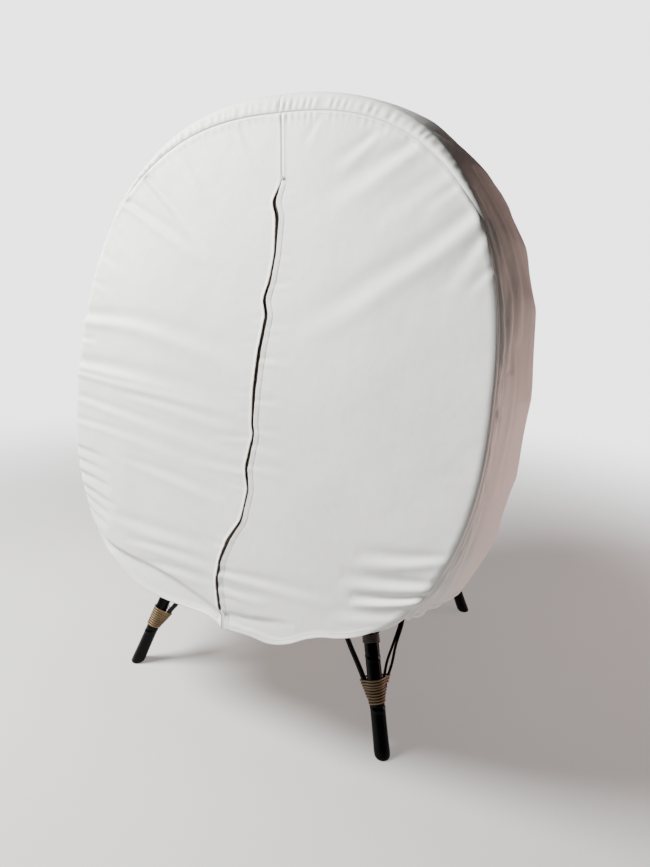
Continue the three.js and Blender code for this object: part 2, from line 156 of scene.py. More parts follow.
def make_studio():
    make_world()
    area_light("key_light", (-1.78, -1.28, 2.60), target=(-0.2, -0.3, 1.1), size=1.3, power=345,
               colour=(1.0, 0.995, 0.965))
    area_light("low_fill", (2.4, 1.4, 0.25), target=(0.5, 0.0, 0.5), size=1.0, power=46,
               colour=(1.0, 0.60, 0.53))


make_camera()
make_studio()


# ---- node materials ----
class Shading:
    """A material's node tree, with short names for the nodes that this scene uses."""

    def __init__(self, name):
        self.material = bpy.data.materials.new(name)
        self.material.use_nodes = True
        self.tree = self.material.node_tree
        self.surface = self.tree.nodes["Principled BSDF"]
        self.coordinates = self.tree.nodes.new("ShaderNodeTexCoord")

    def node(self, kind, links=(), values=(), **settings):
        made = self.tree.nodes.new(kind)
        for key, value in settings.items():
            setattr(made, key, value)
        for key, value in dict(values).items():
            made.inputs[key].default_value = value
        for key, source in dict(links).items():
            self.tree.links.new(source, made.inputs[key])
        return made

    def place(self, space, scale=(1, 1, 1)):
        source = self.coordinates.outputs[space]
        if tuple(scale) == (1, 1, 1):
            return source
        return self.node("ShaderNodeMapping", {"Vector": source}, {"Scale": scale}).outputs[0]

    def noise(self, where, scale, detail, roughness=0.5, distortion=0.0):
        values = {"Scale": scale, "Detail": detail, "Roughness": roughness, "Distortion": distortion}
        return self.node("ShaderNodeTexNoise", {"Vector": where}, values).outputs["Fac"]

    def wave(self, where, scale, direction, distortion, detail):
        values = {"Scale": scale, "Distortion": distortion, "Detail": detail}
        made = self.node("ShaderNodeTexWave", {"Vector": where}, values, bands_direction=direction)
        return made.outputs["Fac"]

    def ramp(self, factor, stops):
        made = self.node("ShaderNodeValToRGB", {"Fac": factor})
        points = made.color_ramp.elements
        while len(points) < len(stops):
            points.new(0.5)
        for point, (at, colour) in zip(points, stops):
            point.position = at
            point.color = (*colour, 1)
        return made.outputs["Color"]

    def span(self, factor, low, high):
        made = self.node("ShaderNodeMapRange", {"Value": factor}, {"To Min": low, "To Max": high})
        return made.outputs["Result"]

    def maths(self, operation, first, second):
        made = self.node("ShaderNodeMath", operation=operation)
        for socket, source in zip(made.inputs, (first, second)):
            if isinstance(source, (int, float)):
                socket.default_value = source
            else:
                self.tree.links.new(source, socket)
        return made.outputs[0]

    def tint(self, factor, first, second):
        made = self.node("ShaderNodeMix", data_type="RGBA")
        self.tree.links.new(factor, made.inputs["Factor"])
        for name, source in (("A", first), ("B", second)):
            socket = [i for i in made.inputs if i.name == name and i.type == "RGBA"][0]
            if isinstance(source, tuple):
                socket.default_value = (*source, 1)
            else:
                self.tree.links.new(source, socket)
        return [o for o in made.outputs if o.type == "RGBA"][0]

    def bumps(self, *layers):
        """Each layer is (height, distance in metres, strength); they add up."""
        normal = None
        for height, distance, strength in layers:
            links = {"Height": height}
            if normal is not None:
                links["Normal"] = normal
            made = self.node("ShaderNodeBump", links, {"Distance": distance, "Strength": strength})
            normal = made.outputs[0]
        self.tree.links.new(normal, self.surface.inputs["Normal"])

    def finish(self, colour=None, roughness=None, **constants):
        if colour is not None:
            self.tree.links.new(colour, self.surface.inputs["Base Color"])
        if roughness is not None:
            self.tree.links.new(roughness, self.surface.inputs["Roughness"])
        for key, value in constants.items():
            self.surface.inputs[key.replace("_", " ")].default_value = value
        return self.material


def cover_cloth_material():
    look = Shading("cover_cloth")
    thread = look.place("UV")
    warp = look.wave(thread, 560, "X", 0.6, 1.0)
    weft = look.wave(thread, 560, "Y", 0.6, 1.0)
    weave = look.maths("MULTIPLY", warp, weft)
    spot = look.place("Object")
    cloud = look.noise(spot, 3.2, 4, 0.55)
    crumple = look.noise(spot, 55, 5, 0.62, 0.4)
    grain = look.noise(spot, 900, 2, 0.6)
    colour = look.ramp(cloud, [(0.30, (0.737, 0.74, 0.713)), (0.62, (0.797, 0.80, 0.772))])
    colour = look.tint(look.span(weave, 0.0, 0.10), colour, (0.55, 0.54, 0.52))
    rough = look.span(crumple, 0.46, 0.62)
    look.bumps((crumple, 0.0016, 0.20), (weave, 0.0004, 0.30), (grain, 0.0003, 0.25))
    return look.finish(colour, rough, Sheen_Weight=0.12, Sheen_Roughness=0.45, Specular_IOR_Level=0.42)


def thread_material():
    look = Shading("thread")
    twist = look.wave(look.place("Object"), 900, "DIAGONAL", 1.5, 2)
    colour = look.ramp(twist, [(0.2, (0.50, 0.48, 0.44)), (0.8, (0.76, 0.74, 0.70))])
    look.bumps((twist, 0.0003, 0.5))
    return look.finish(colour, look.span(twist, 0.6, 0.8))


def tape_material():
    look = Shading("zip_tape")
    thread = look.place("UV")
    rib = look.wave(thread, 700, "Y", 0.3, 1)
    cloud = look.noise(look.place("Object"), 30, 3)
    colour = look.ramp(cloud, [(0.3, (0.16, 0.12, 0.095)), (0.7, (0.23, 0.18, 0.145))])
    look.bumps((rib, 0.0005, 0.6))
    return look.finish(colour, look.span(rib, 0.6, 0.8))


def black_pole_material():
    look = Shading("black_pole")
    spot = look.place("Object")
    streak = look.noise(look.place("Object", (1, 1, 0.15)), 210, 5, 0.6)
    blotch = look.noise(spot, 14, 4, 0.6)
    wear = look.noise(spot, 70, 6, 0.7)
    paint = look.ramp(blotch, [(0.35, (0.0008, 0.0008, 0.0014)), (0.7, (0.0024, 0.0022, 0.0028))])
    worn = look.ramp(wear, [(0.66, (0, 0, 0)), (0.74, (1, 1, 1))])
    colour = look.tint(worn, paint, (0.012, 0.0075, 0.0045))
    rough = look.span(streak, 0.16, 0.32)
    look.bumps((streak, 0.0008, 0.22), (wear, 0.0006, 0.12))
    return look.finish(colour, rough, Specular_IOR_Level=0.08)


def rattan_material(name, dark, middle, light, shine=0.5):
    look = Shading(name)
    along = look.place("UV", (900, 30, 1))
    fibre = look.noise(along, 1.0, 4, 0.6)
    spot = look.place("Object")
    patch = look.noise(spot, 48, 4, 0.6)
    colour = look.ramp(fibre, [(0.25, dark), (0.5, middle), (0.75, light)])
    colour = look.tint(look.span(patch, 0.0, 0.45), colour, tuple(v * 0.62 for v in middle))
    look.bumps((fibre, 0.0006, 0.5), (patch, 0.0005, 0.15))
    return look.finish(colour, look.span(fibre, 0.32, 0.52), Specular_IOR_Level=shine)


def wood_material(name="slat_wood", tone=1.0):
    look = Shading(name)
    ring = look.wave(look.place("UV", (12, 0.9, 1)), 2.2, "X", 5.0, 3.0)
    fibre = look.noise(look.place("UV", (260, 6, 1)), 1.0, 5, 0.65)
    patch = look.noise(look.place("Object"), 7, 3)
    colours = [(0.36, 0.20, 0.095), (0.50, 0.30, 0.155), (0.58, 0.37, 0.205), (0.30, 0.165, 0.08),
               (0.62, 0.42, 0.25)]
    early, middle, late, dark, pale = (tuple(v * tone for v in one) for one in colours)
    colour = look.ramp(ring, [(0.1, early), (0.55, middle), (0.95, late)])
    colour = look.tint(look.span(fibre, 0.0, 0.5), colour, dark)
    colour = look.tint(look.span(patch, 0.0, 0.3), colour, pale)
    look.bumps((fibre, 0.0006, 0.35), (ring, 0.0005, 0.15))
    return look.finish(colour, look.span(fibre, 0.42, 0.60), Specular_IOR_Level=0.4)


def cushion_material(name="cushion_cloth", light=(0.60, 0.56, 0.47), shade=(0.50, 0.46, 0.385)):
    look = Shading(name)
    spot = look.place("Object")
    warp = look.wave(spot, 330, "X", 1.2, 2)
    weft = look.wave(spot, 330, "Y", 1.2, 2)
    weave = look.maths("ADD", warp, weft)
    slub = look.noise(spot, 160, 4, 0.7)
    colour = look.ramp(slub, [(0.35, shade), (0.65, light)])
    colour = look.tint(look.span(weave, 0.0, 0.25), colour, (0.40, 0.37, 0.31))
    look.bumps((weave, 0.0007, 0.5), (slub, 0.0005, 0.3))
    return look.finish(colour, look.span(slub, 0.75, 0.92), Sheen_Weight=0.3, Sheen_Roughness=0.5)


def moulded_material(name, colour_low, colour_high, rough_low, rough_high):
    look = Shading(name)
    spot = look.place("Object")
    cloud = look.noise(spot, 9, 3)
    grain = look.noise(spot, 1400, 2, 0.6)
    scuff = look.noise(spot, 120, 6, 0.7)
    colour = look.ramp(cloud, [(0.3, colour_low), (0.7, colour_high)])
    look.bumps((grain, 0.0003, 0.25), (scuff, 0.0003, 0.08))
    return look.finish(colour, look.span(scuff, rough_low, rough_high), Specular_IOR_Level=0.5)


def steel_material(name="steel", colour_low=(0.56, 0.565, 0.57), colour_high=(0.70, 0.70, 0.71)):
    look = Shading(name)
    brushed = look.noise(look.place("Object", (60, 60, 900)), 1.0, 4, 0.6)
    smear = look.noise(look.place("Object"), 18, 4, 0.6)
    colour = look.ramp(smear, [(0.3, colour_low), (0.7, colour_high)])
    look.bumps((brushed, 0.0004, 0.15))
    return look.finish(colour, look.span(brushed, 0.20, 0.36), Metallic=1.0)


MATERIALS = {
    "cover_cloth": cover_cloth_material(),
    "thread": thread_material(),
    "zip_tape": tape_material(),
    "black_pole": black_pole_material(),
    "cane": rattan_material(
        "cane", (0.004, 0.004, 0.005), (0.007, 0.006, 0.006), (0.014, 0.011, 0.010), shine=0.15),
    "rattan_binding": rattan_material(
        "rattan_binding", (0.060, 0.035, 0.012), (0.150, 0.094, 0.035), (0.250, 0.170, 0.072)),
    "dark_binding": rattan_material(
        "dark_binding", (0.020, 0.010, 0.005), (0.040, 0.021, 0.010), (0.065, 0.036, 0.019)),
    "slat_wood": wood_material(),
    "slat_wood_dark": wood_material("slat_wood_dark", 0.84),
    "cushion_cloth": cushion_material(),
    "cushion_piping": cushion_material("cushion_piping", (0.42, 0.36, 0.27), (0.35, 0.30, 0.225)),
    "appliance_white": moulded_material(
        "appliance_white", (0.70, 0.69, 0.66), (0.77, 0.76, 0.73), 0.30, 0.42),
    "steel": steel_material(),
    "dark_plastic": moulded_material(
        "dark_plastic", (0.018, 0.018, 0.020), (0.030, 0.030, 0.033), 0.38, 0.55),
    "zip_metal": steel_material("zip_metal", (0.44, 0.43, 0.40), (0.60, 0.59, 0.56)),
}


# ---- making meshes ----
def grid_faces(rows, columns, wrap=False):
    index = np.arange(rows * columns).reshape(rows, columns)
    if wrap:
        index = np.hstack([index, index[:, :1]])
    corners = (index[:-1, :-1], index[:-1, 1:], index[1:, 1:], index[1:, :-1])
    return np.stack(corners, -1).reshape(-1, 4)


def ring_faces(rows, columns, first=True, last=True):
    """The faces of a stack of rings, with the first and the last ring closed or left open."""
    faces = [tuple(f) for f in grid_faces(rows, columns, wrap=True)]
    if first:
        faces.append(tuple(reversed(range(columns))))
    if last:
        faces.append(tuple((rows - 1) * columns + i for i in range(columns)))
    return faces


class Shape:
    """Collects vertices, faces and flat coordinates, then becomes one mesh object."""

    def __init__(self):
        self.points, self.faces, self.flat, self.count = [], [], [], 0

    def add(self, points, faces, flat=None):
        points = np.asarray(points, float).reshape(-1, 3)
        flat = np.zeros((len(points), 2)) if flat is None else np.asarray(flat, float).reshape(-1, 2)
        self.points.append(points)
        self.flat.append(flat)
        self.faces.extend(tuple(int(v) + self.count for v in face) for face in faces)
        self.count += len(points)

    def piece(self, name, material, body, replaced=()):
        """Body is None for a piece that is left without a body here."""
        mesh = bpy.data.meshes.new(name)
        points = np.concatenate(self.points)
        mesh.from_pydata(points.tolist(), [], self.faces)
        mesh.validate()
        flat = np.concatenate(self.flat)
        loops = np.empty(len(mesh.loops), int)
        mesh.loops.foreach_get("vertex_index", loops)
        layer = mesh.uv_layers.new(name="flat")
        layer.data.foreach_set("uv", flat[loops].astype(np.float32).ravel())
        mesh.polygons.foreach_set("use_smooth", [True] * len(mesh.polygons))
        mesh.materials.append(MATERIALS[material])
        shown = f"{name}_detail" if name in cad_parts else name
        made = bpy.data.objects.new(shown, mesh)
        bpy.context.scene.collection.objects.link(made)
        if body:
            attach(made, body)
        if replaced:
            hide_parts(*replaced)
        return made


def unit(vectors):
    return vectors / np.maximum(np.linalg.norm(vectors, axis=-1, keepdims=True), 1e-12)


def grid_normals(points):
    down = np.gradient(points, axis=0)
    across = np.gradient(points, axis=1)
    return unit(np.cross(across, down))


def steps_along(points):
    gaps = np.linalg.norm(np.diff(points, axis=0), axis=1)
    return np.concatenate([[0.0], np.cumsum(gaps)])


def spline(points, step):
    """A smooth centripetal curve through points, with a point about every step."""
    points = np.asarray(points, float)
    padded = np.vstack([2 * points[0] - points[1], points, 2 * points[-1] - points[-2]])
    knots = np.concatenate([[0], np.cumsum(np.linalg.norm(np.diff(padded, axis=0), axis=1) ** 0.5)])
    out = []
    for i in range(1, len(padded) - 2):
        p, k = padded[i - 1:i + 3], knots[i - 1:i + 3]
        count = max(2, int(math.ceil(np.linalg.norm(p[2] - p[1]) / step)))
        last = i == len(padded) - 3
        t = np.linspace(k[1], k[2], count + 1)[:None if last else -1, None]
        a1 = (k[1] - t) / (k[1] - k[0]) * p[0] + (t - k[0]) / (k[1] - k[0]) * p[1]
        a2 = (k[2] - t) / (k[2] - k[1]) * p[1] + (t - k[1]) / (k[2] - k[1]) * p[2]
        a3 = (k[3] - t) / (k[3] - k[2]) * p[2] + (t - k[2]) / (k[3] - k[2]) * p[3]
        b1 = (k[2] - t) / (k[2] - k[0]) * a1 + (t - k[0]) / (k[2] - k[0]) * a2
        b2 = (k[3] - t) / (k[3] - k[1]) * a2 + (t - k[1]) / (k[3] - k[1]) * a3
        out.append((k[2] - t) / (k[2] - k[1]) * b1 + (t - k[1]) / (k[2] - k[1]) * b2)
    return np.vstack(out)


def from_ends(points):
    """How far each point of a path is from the path's nearer end."""
    along = steps_along(points)
    return np.minimum(along, along[-1] - along)


def at_lengths(points, lengths):
    along = steps_along(points)
    return np.stack([np.interp(lengths, along, points[:, i]) for i in range(points.shape[1])], -1)


def travelling_ups(points):
    """Normals that turn as little as they can along a path."""
    tangents = unit(np.gradient(points, axis=0))
    seed = np.array([0.0, 0.0, 1.0]) if abs(tangents[0][2]) < 0.9 else np.array([0.0, 1.0, 0.0])
    ups = [unit(seed - tangents[0] * np.dot(seed, tangents[0]))]
    for tangent in tangents[1:]:
        ups.append(unit(ups[-1] - tangent * np.dot(ups[-1], tangent)))
    return np.array(ups)


def sweep(shape, points, outline, ups, closed=False):
    """Carries an outline, (M, 2) or one for each point, along a path.

    Outline y runs along the ups: one direction, one for each point, or None to let them travel.
    """
    points = np.asarray(points, float)
    outline = np.asarray(outline, float)
    if outline.ndim == 2:
        outline = np.broadcast_to(outline, (len(points), *outline.shape))
    if closed:
        tangents = unit(np.roll(points, -1, 0) - np.roll(points, 1, 0))
    else:
        tangents = unit(np.gradient(points, axis=0))
    ups = travelling_ups(points) if ups is None else np.asarray(ups, float)
    ups = unit(ups - tangents * np.sum(ups * tangents, -1, keepdims=True))
    sides = np.cross(tangents, ups)
    ring = points[:, None] + outline[..., :1] * sides[:, None] + outline[..., 1:] * ups[:, None]
    rows, columns = ring.shape[:2]
    around = np.linalg.norm(np.diff(outline[0], axis=0, append=outline[0][:1]), axis=1)
    across = np.concatenate([[0], np.cumsum(around)[:-1]])
    along = steps_along(points)
    flat = np.stack(np.broadcast_arrays(across[None, :], along[:, None]), -1)
    faces = [tuple(f) for f in grid_faces(rows, columns, wrap=True)[:, ::-1]]
    if closed:
        for i in range(columns):
            j = (i + 1) % columns
            last = (rows - 1) * columns
            faces.append((last + i, i, j, last + j))
    else:
        faces.append(tuple(range(columns)))
        faces.append(tuple((rows - 1) * columns + i for i in reversed(range(columns))))
    shape.add(ring, faces, flat)


def circle(sides):
    angle = np.arange(sides) / sides * 2 * math.pi
    return np.stack([np.cos(angle), np.sin(angle)], -1)


def tube(shape, points, radius, sides, closed=False, up=None):
    """A round rod with rounded ends. The radius is one number or one for each point."""
    points = np.asarray(points, float)
    radius = np.broadcast_to(np.asarray(radius, float), len(points)).copy()
    if not closed:
        first, last = unit(points[0] - points[1]), unit(points[-1] - points[-2])
        bend = np.radians([0, 35, 65, 86])
        blunt = 0.35
        head = np.array([points[0] + first * radius[0] * blunt * math.sin(b) for b in bend[:0:-1]])
        tail = np.array([points[-1] + last * radius[-1] * blunt * math.sin(b) for b in bend[1:]])
        scale = np.cos(bend)
        radius = np.concatenate([radius[0] * scale[:0:-1], radius, radius[-1] * scale[1:]])
        points = np.vstack([head, points, tail])
    sweep(shape, points, circle(sides)[None] * radius[:, None, None], up, closed)


def lathe(shape, profile, centre, sides, axis=(0, 0, 1)):
    """Turns (radius, height) pairs round an axis through centre. The profile runs along one skin."""
    axis = unit(np.asarray(axis, float))
    side = np.array([1.0, 0, 0]) if abs(axis[0]) < 0.9 else np.array([0, 1.0, 0])
    side = unit(side - axis * np.dot(side, axis))
    other = np.cross(axis, side)
    profile = np.asarray(profile, float)
    turn = circle(sides)
    ring = (np.asarray(centre, float) + profile[:, None, 1:] * axis
            + profile[:, None, :1] * (turn[None, :, :1] * side + turn[None, :, 1:] * other))
    faces = ring_faces(len(profile), sides, profile[0][0] > 1e-6, profile[-1][0] > 1e-6)
    flat = np.stack(np.broadcast_arrays(
        np.arange(sides)[None, :] / sides * 2 * math.pi * profile[:, :1].max(),
        steps_along(profile)[:, None]), -1)
    shape.add(ring, faces, flat)


def thick_sheet(shape, points, flat, thickness):
    """Gives a grid of points a second layer behind it and closes the edges."""
    rows, columns = points.shape[:2]
    thickness = np.broadcast_to(np.asarray(thickness, float), (rows, columns))
    inner = points - grid_normals(points) * thickness[..., None]
    outer_faces = grid_faces(rows, columns)[:, ::-1]
    size = rows * columns
    index = np.arange(size).reshape(rows, columns)
    loop = np.concatenate([index[0, :-1], index[:-1, -1], index[-1, :0:-1], index[:0:-1, 0]])
    following = np.roll(loop, -1)
    rim = np.stack([loop, following, following + size, loop + size], -1)
    faces = np.vstack([outer_faces, outer_faces[:, ::-1] + size, rim])
    shape.add(np.concatenate([points.reshape(-1, 3), inner.reshape(-1, 3)]), faces,
              np.concatenate([flat.reshape(-1, 2), flat.reshape(-1, 2)]))


def soft_noise(u, v, seed):
    """Smooth random values from -1 to 1 over a plane, one bump for each unit of u and v."""
    table = np.random.default_rng(seed).uniform(-1, 1, (64, 64))
    iu, iv = np.floor(u).astype(int), np.floor(v).astype(int)
    fu, fv = u - iu, v - iv
    fu, fv = fu * fu * (3 - 2 * fu), fv * fv * (3 - 2 * fv)
    a, b = table[iu % 64, iv % 64], table[(iu + 1) % 64, iv % 64]
    c, d = table[iu % 64, (iv + 1) % 64], table[(iu + 1) % 64, (iv + 1) % 64]
    return (a * (1 - fu) + b * fu) * (1 - fv) + (c * (1 - fu) + d * fu) * fv


def through(pairs, value):
    """A gentle curve through (at, height) pairs."""
    at, height = np.array(sorted(pairs), float).T
    slope = np.gradient(height, at)
    value = np.clip(value, at[0], at[-1])
    i = np.clip(np.searchsorted(at, value) - 1, 0, len(at) - 2)
    width = at[i + 1] - at[i]
    t = (value - at[i]) / width
    return ((2 * t**3 - 3 * t**2 + 1) * height[i] + (t**3 - 2 * t**2 + t) * width * slope[i]
            + (3 * t**2 - 2 * t**3) * height[i + 1] + (t**3 - t**2) * width * slope[i + 1])


def smooth_step(value, low, high):
    t = np.clip((value - low) / (high - low), 0, 1)
    return t * t * (3 - 2 * t)


def bump(distance, width):
    return np.exp(-(distance / width) ** 2)


def box_of(node):
    """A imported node's low corner, high corner, size and middle."""
    low, high = (np.array(corner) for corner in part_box(node))
    return low, high, high - low, (low + high) / 2


# ---- the pod's shape ----
def section(at):
    a, b, c = STATIONS
    at = np.asarray(at, float)
    wa = (at - b["at"]) * (at - c["at"]) / ((a["at"] - b["at"]) * (a["at"] - c["at"]))
    wb = (at - a["at"]) * (at - c["at"]) / ((b["at"] - a["at"]) * (b["at"] - c["at"]))
    wc = (at - a["at"]) * (at - b["at"]) / ((c["at"] - a["at"]) * (c["at"] - b["at"]))
    return {key: a[key] * wa + b[key] * wb + c[key] * wc for key in a}


def rim(shape, turn, inset=0.0, drop=0.0):
    """The outline of a section: how far across, and how far up the slope."""
    sine, cosine = np.sin(turn), np.cos(turn)
    power = np.where(cosine >= 0, shape["power"], shape["low_power"])
    height = np.where(cosine >= 0, shape["up"] - inset, shape["down"] - inset - drop)
    reach = (np.abs(sine) ** power + np.abs(cosine) ** power) ** (-1 / power)
    across = (shape["wide"] - inset) * reach * sine * (1 - shape["egg"] * reach * cosine)
    return across, height * reach * cosine


def lift(shape, across, rise, forward=0.0):
    """From a section's own plane into the pod."""
    across, rise, forward = np.broadcast_arrays(across, rise, forward)
    middle = np.stack(np.broadcast_arrays(0.0, shape["y"], shape["z"]), -1)
    return (middle + across[..., None] * [1.0, 0, 0] + rise[..., None] * UPSLOPE
            + forward[..., None] * FORWARD)


def depth_of(at):
    """How far a section lies behind the front face, square to it."""
    shape, front = section(at), STATIONS[0]
    return (shape["y"] - front["y"]) * math.cos(TILT) - (shape["z"] - front["z"]) * math.sin(TILT)


STATION_STEPS = np.linspace(0, 1, 401)
STATION_DEPTHS = depth_of(STATION_STEPS)


def station_at(depth):
    return np.interp(depth, STATION_DEPTHS, STATION_STEPS)


def cover_point(turn, inward):
    bend = (1 - np.clip(inward / CORNER, -1, 1)) * math.pi / 4
    inset = np.where(inward > CORNER, inward, CORNER * (1 - np.sin(bend)))
    depth = np.where(inward < -CORNER, -inward, CORNER * (1 - np.cos(bend)))
    shape = section(station_at(depth))
    across, rise = rim(shape, turn)
    share = 1 - inset / np.hypot(across, rise)
    return lift(shape, across * share, rise * share)


def face_place(points):
    """The (x, s) of points on the front face."""
    middle = np.array([0, STATIONS[0]["y"], STATIONS[0]["z"]])
    return points[..., 0], (points - middle) @ UPSLOPE


def face_point(x, s, forward=0.0):
    return lift(STATIONS[0], np.asarray(x, float), np.asarray(s, float), forward)


def turn_of(outline_angle, power):
    """The direction of the outline point that the CAD calls by this angle, in degrees."""
    sine, cosine = np.sin(np.radians(outline_angle)), np.cos(np.radians(outline_angle))
    return np.arctan2(np.abs(sine) ** (2 / power), np.sign(cosine) * np.abs(cosine) ** (2 / power))


def hem_turn(at):
    shape = section(at)
    drop = HEM["rear"] * smooth_step(at, HEM["start"], HEM["end"])
    return turn_of(HEM["highest"] + HEM["front"] * np.exp(-at / HEM["fall"]) + drop, shape["low_power"])


# ---- folds in the cloth ----
def fold_height(x, s, points, width, depth, ridge, fade):
    """A valley along a line, with a ridge on its lower side, or a sharp tuck where the ridge is None.

    It fades towards its last point ("end"), towards both ends ("both") or not at all ("none").
    """
    points = np.array(points, float)
    path = spline(points, 0.012) if len(points) > 2 else np.linspace(*points, 24)
    tangent = unit(np.gradient(path, axis=0))
    below = np.stack([tangent[:, 1], -tangent[:, 0]], -1)
    below *= -1 if below[:, 1].mean() > 0 else 1
    spots = np.stack([x.ravel(), s.ravel()], -1)
    low, high = path.min(0) - 4 * width, path.max(0) + 4 * width
    near = np.all((spots > low) & (spots < high), axis=1)
    out = np.zeros(len(spots))
    if not near.any():
        return out.reshape(x.shape)
    gap = spots[near][:, None] - path[None]
    nearest = np.argmin((gap ** 2).sum(-1), axis=1)
    offset = gap[np.arange(len(nearest)), nearest]
    across = (offset * below[nearest]).sum(-1)
    past = (offset * tangent[nearest]).sum(-1)
    t = nearest / (len(path) - 1)
    if fade == "both":
        strength = np.sin(math.pi * np.clip(t, 0, 1)) ** 0.7
    elif fade == "none":
        strength = 1.0
    else:
        strength = (1 - t ** 1.6) * (0.75 + 0.25 * t)
    strength = strength * bump(past, 2 * width)
    spread = width * (0.8 + 0.7 * t)
    if ridge is None:
        height = -np.where(across < 0, bump(across, spread), np.exp(-np.abs(across) / (3.6 * spread)))
    else:
        height = ridge * bump(across - 1.55 * spread, 0.95 * spread) - bump(across, spread)
    out[near] = depth * strength * height
    return out.reshape(x.shape)


def folded(height, x, s, folds):
    """A height field with folds added. Each fold is (points, width, depth, ridge, fade)."""
    for fold in folds:
        height = height + fold_height(x, s, *fold)
    return height


SLIT_TOP = 0.478
# Where the slit runs: (s, x).
SLIT_LINE = [
    (0.680, -0.006), (0.645, 0.006), (0.560, 0.018), (0.480, 0.028), (0.424, 0.012), (0.390, 0.027),
    (0.300, 0.031), (0.237, 0.025), (0.190, 0.014), (0.152, 0.026), (0.060, 0.016), (-0.040, 0.014),
    (-0.125, 0.018), (-0.140, 0.025), (-0.232, 0.014), (-0.285, 0.027), (-0.366, 0.017), (-0.419, -0.013),
    (-0.479, -0.032), (-0.535, -0.034), (-0.594, -0.019), (-0.655, 0.004),
]
# Half the slit's opening before SLIT_OPEN is applied: (s, width).
SLIT_WIDTH = [
    (0.48, 0.0), (0.45, 0.0022), (0.41, 0.0040), (0.36, 0.0030), (0.30, 0.0022), (0.20, 0.0030),
    (0.10, 0.0034), (-0.05, 0.0032), (-0.14, 0.0022), (-0.22, 0.0034), (-0.29, 0.0018), (-0.36, 0.0020),
    (-0.42, 0.0040), (-0.47, 0.0028), (-0.55, 0.0024), (-0.62, 0.0026), (-0.68, 0.0026),
]
SLIT_OPEN = 1.35
# How far the front cloth's edge lies inside the cover's outline, by distance from the middle.
LOWER_EDGE = {
    RIGHT: [(0.0, 0.020), (0.08, 0.021), (0.147, 0.012), (0.20, 0.018), (0.252, 0.030), (0.29, 0.031),
            (0.328, 0.022), (0.372, 0.013), (0.417, 0.005), (0.45, -0.004)],
    LEFT: [(0.0, 0.022), (0.02, 0.032), (0.127, 0.038), (0.209, 0.028), (0.285, 0.015), (0.336, 0.009),
           (0.386, 0.011), (0.43, 0.004), (0.46, -0.004)],
}
SEAM_FAR_ROUND = -0.012   # how far round the corner the seam lies on the sides
BAND_WIDTH = 0.044        # of the band at the top of the front
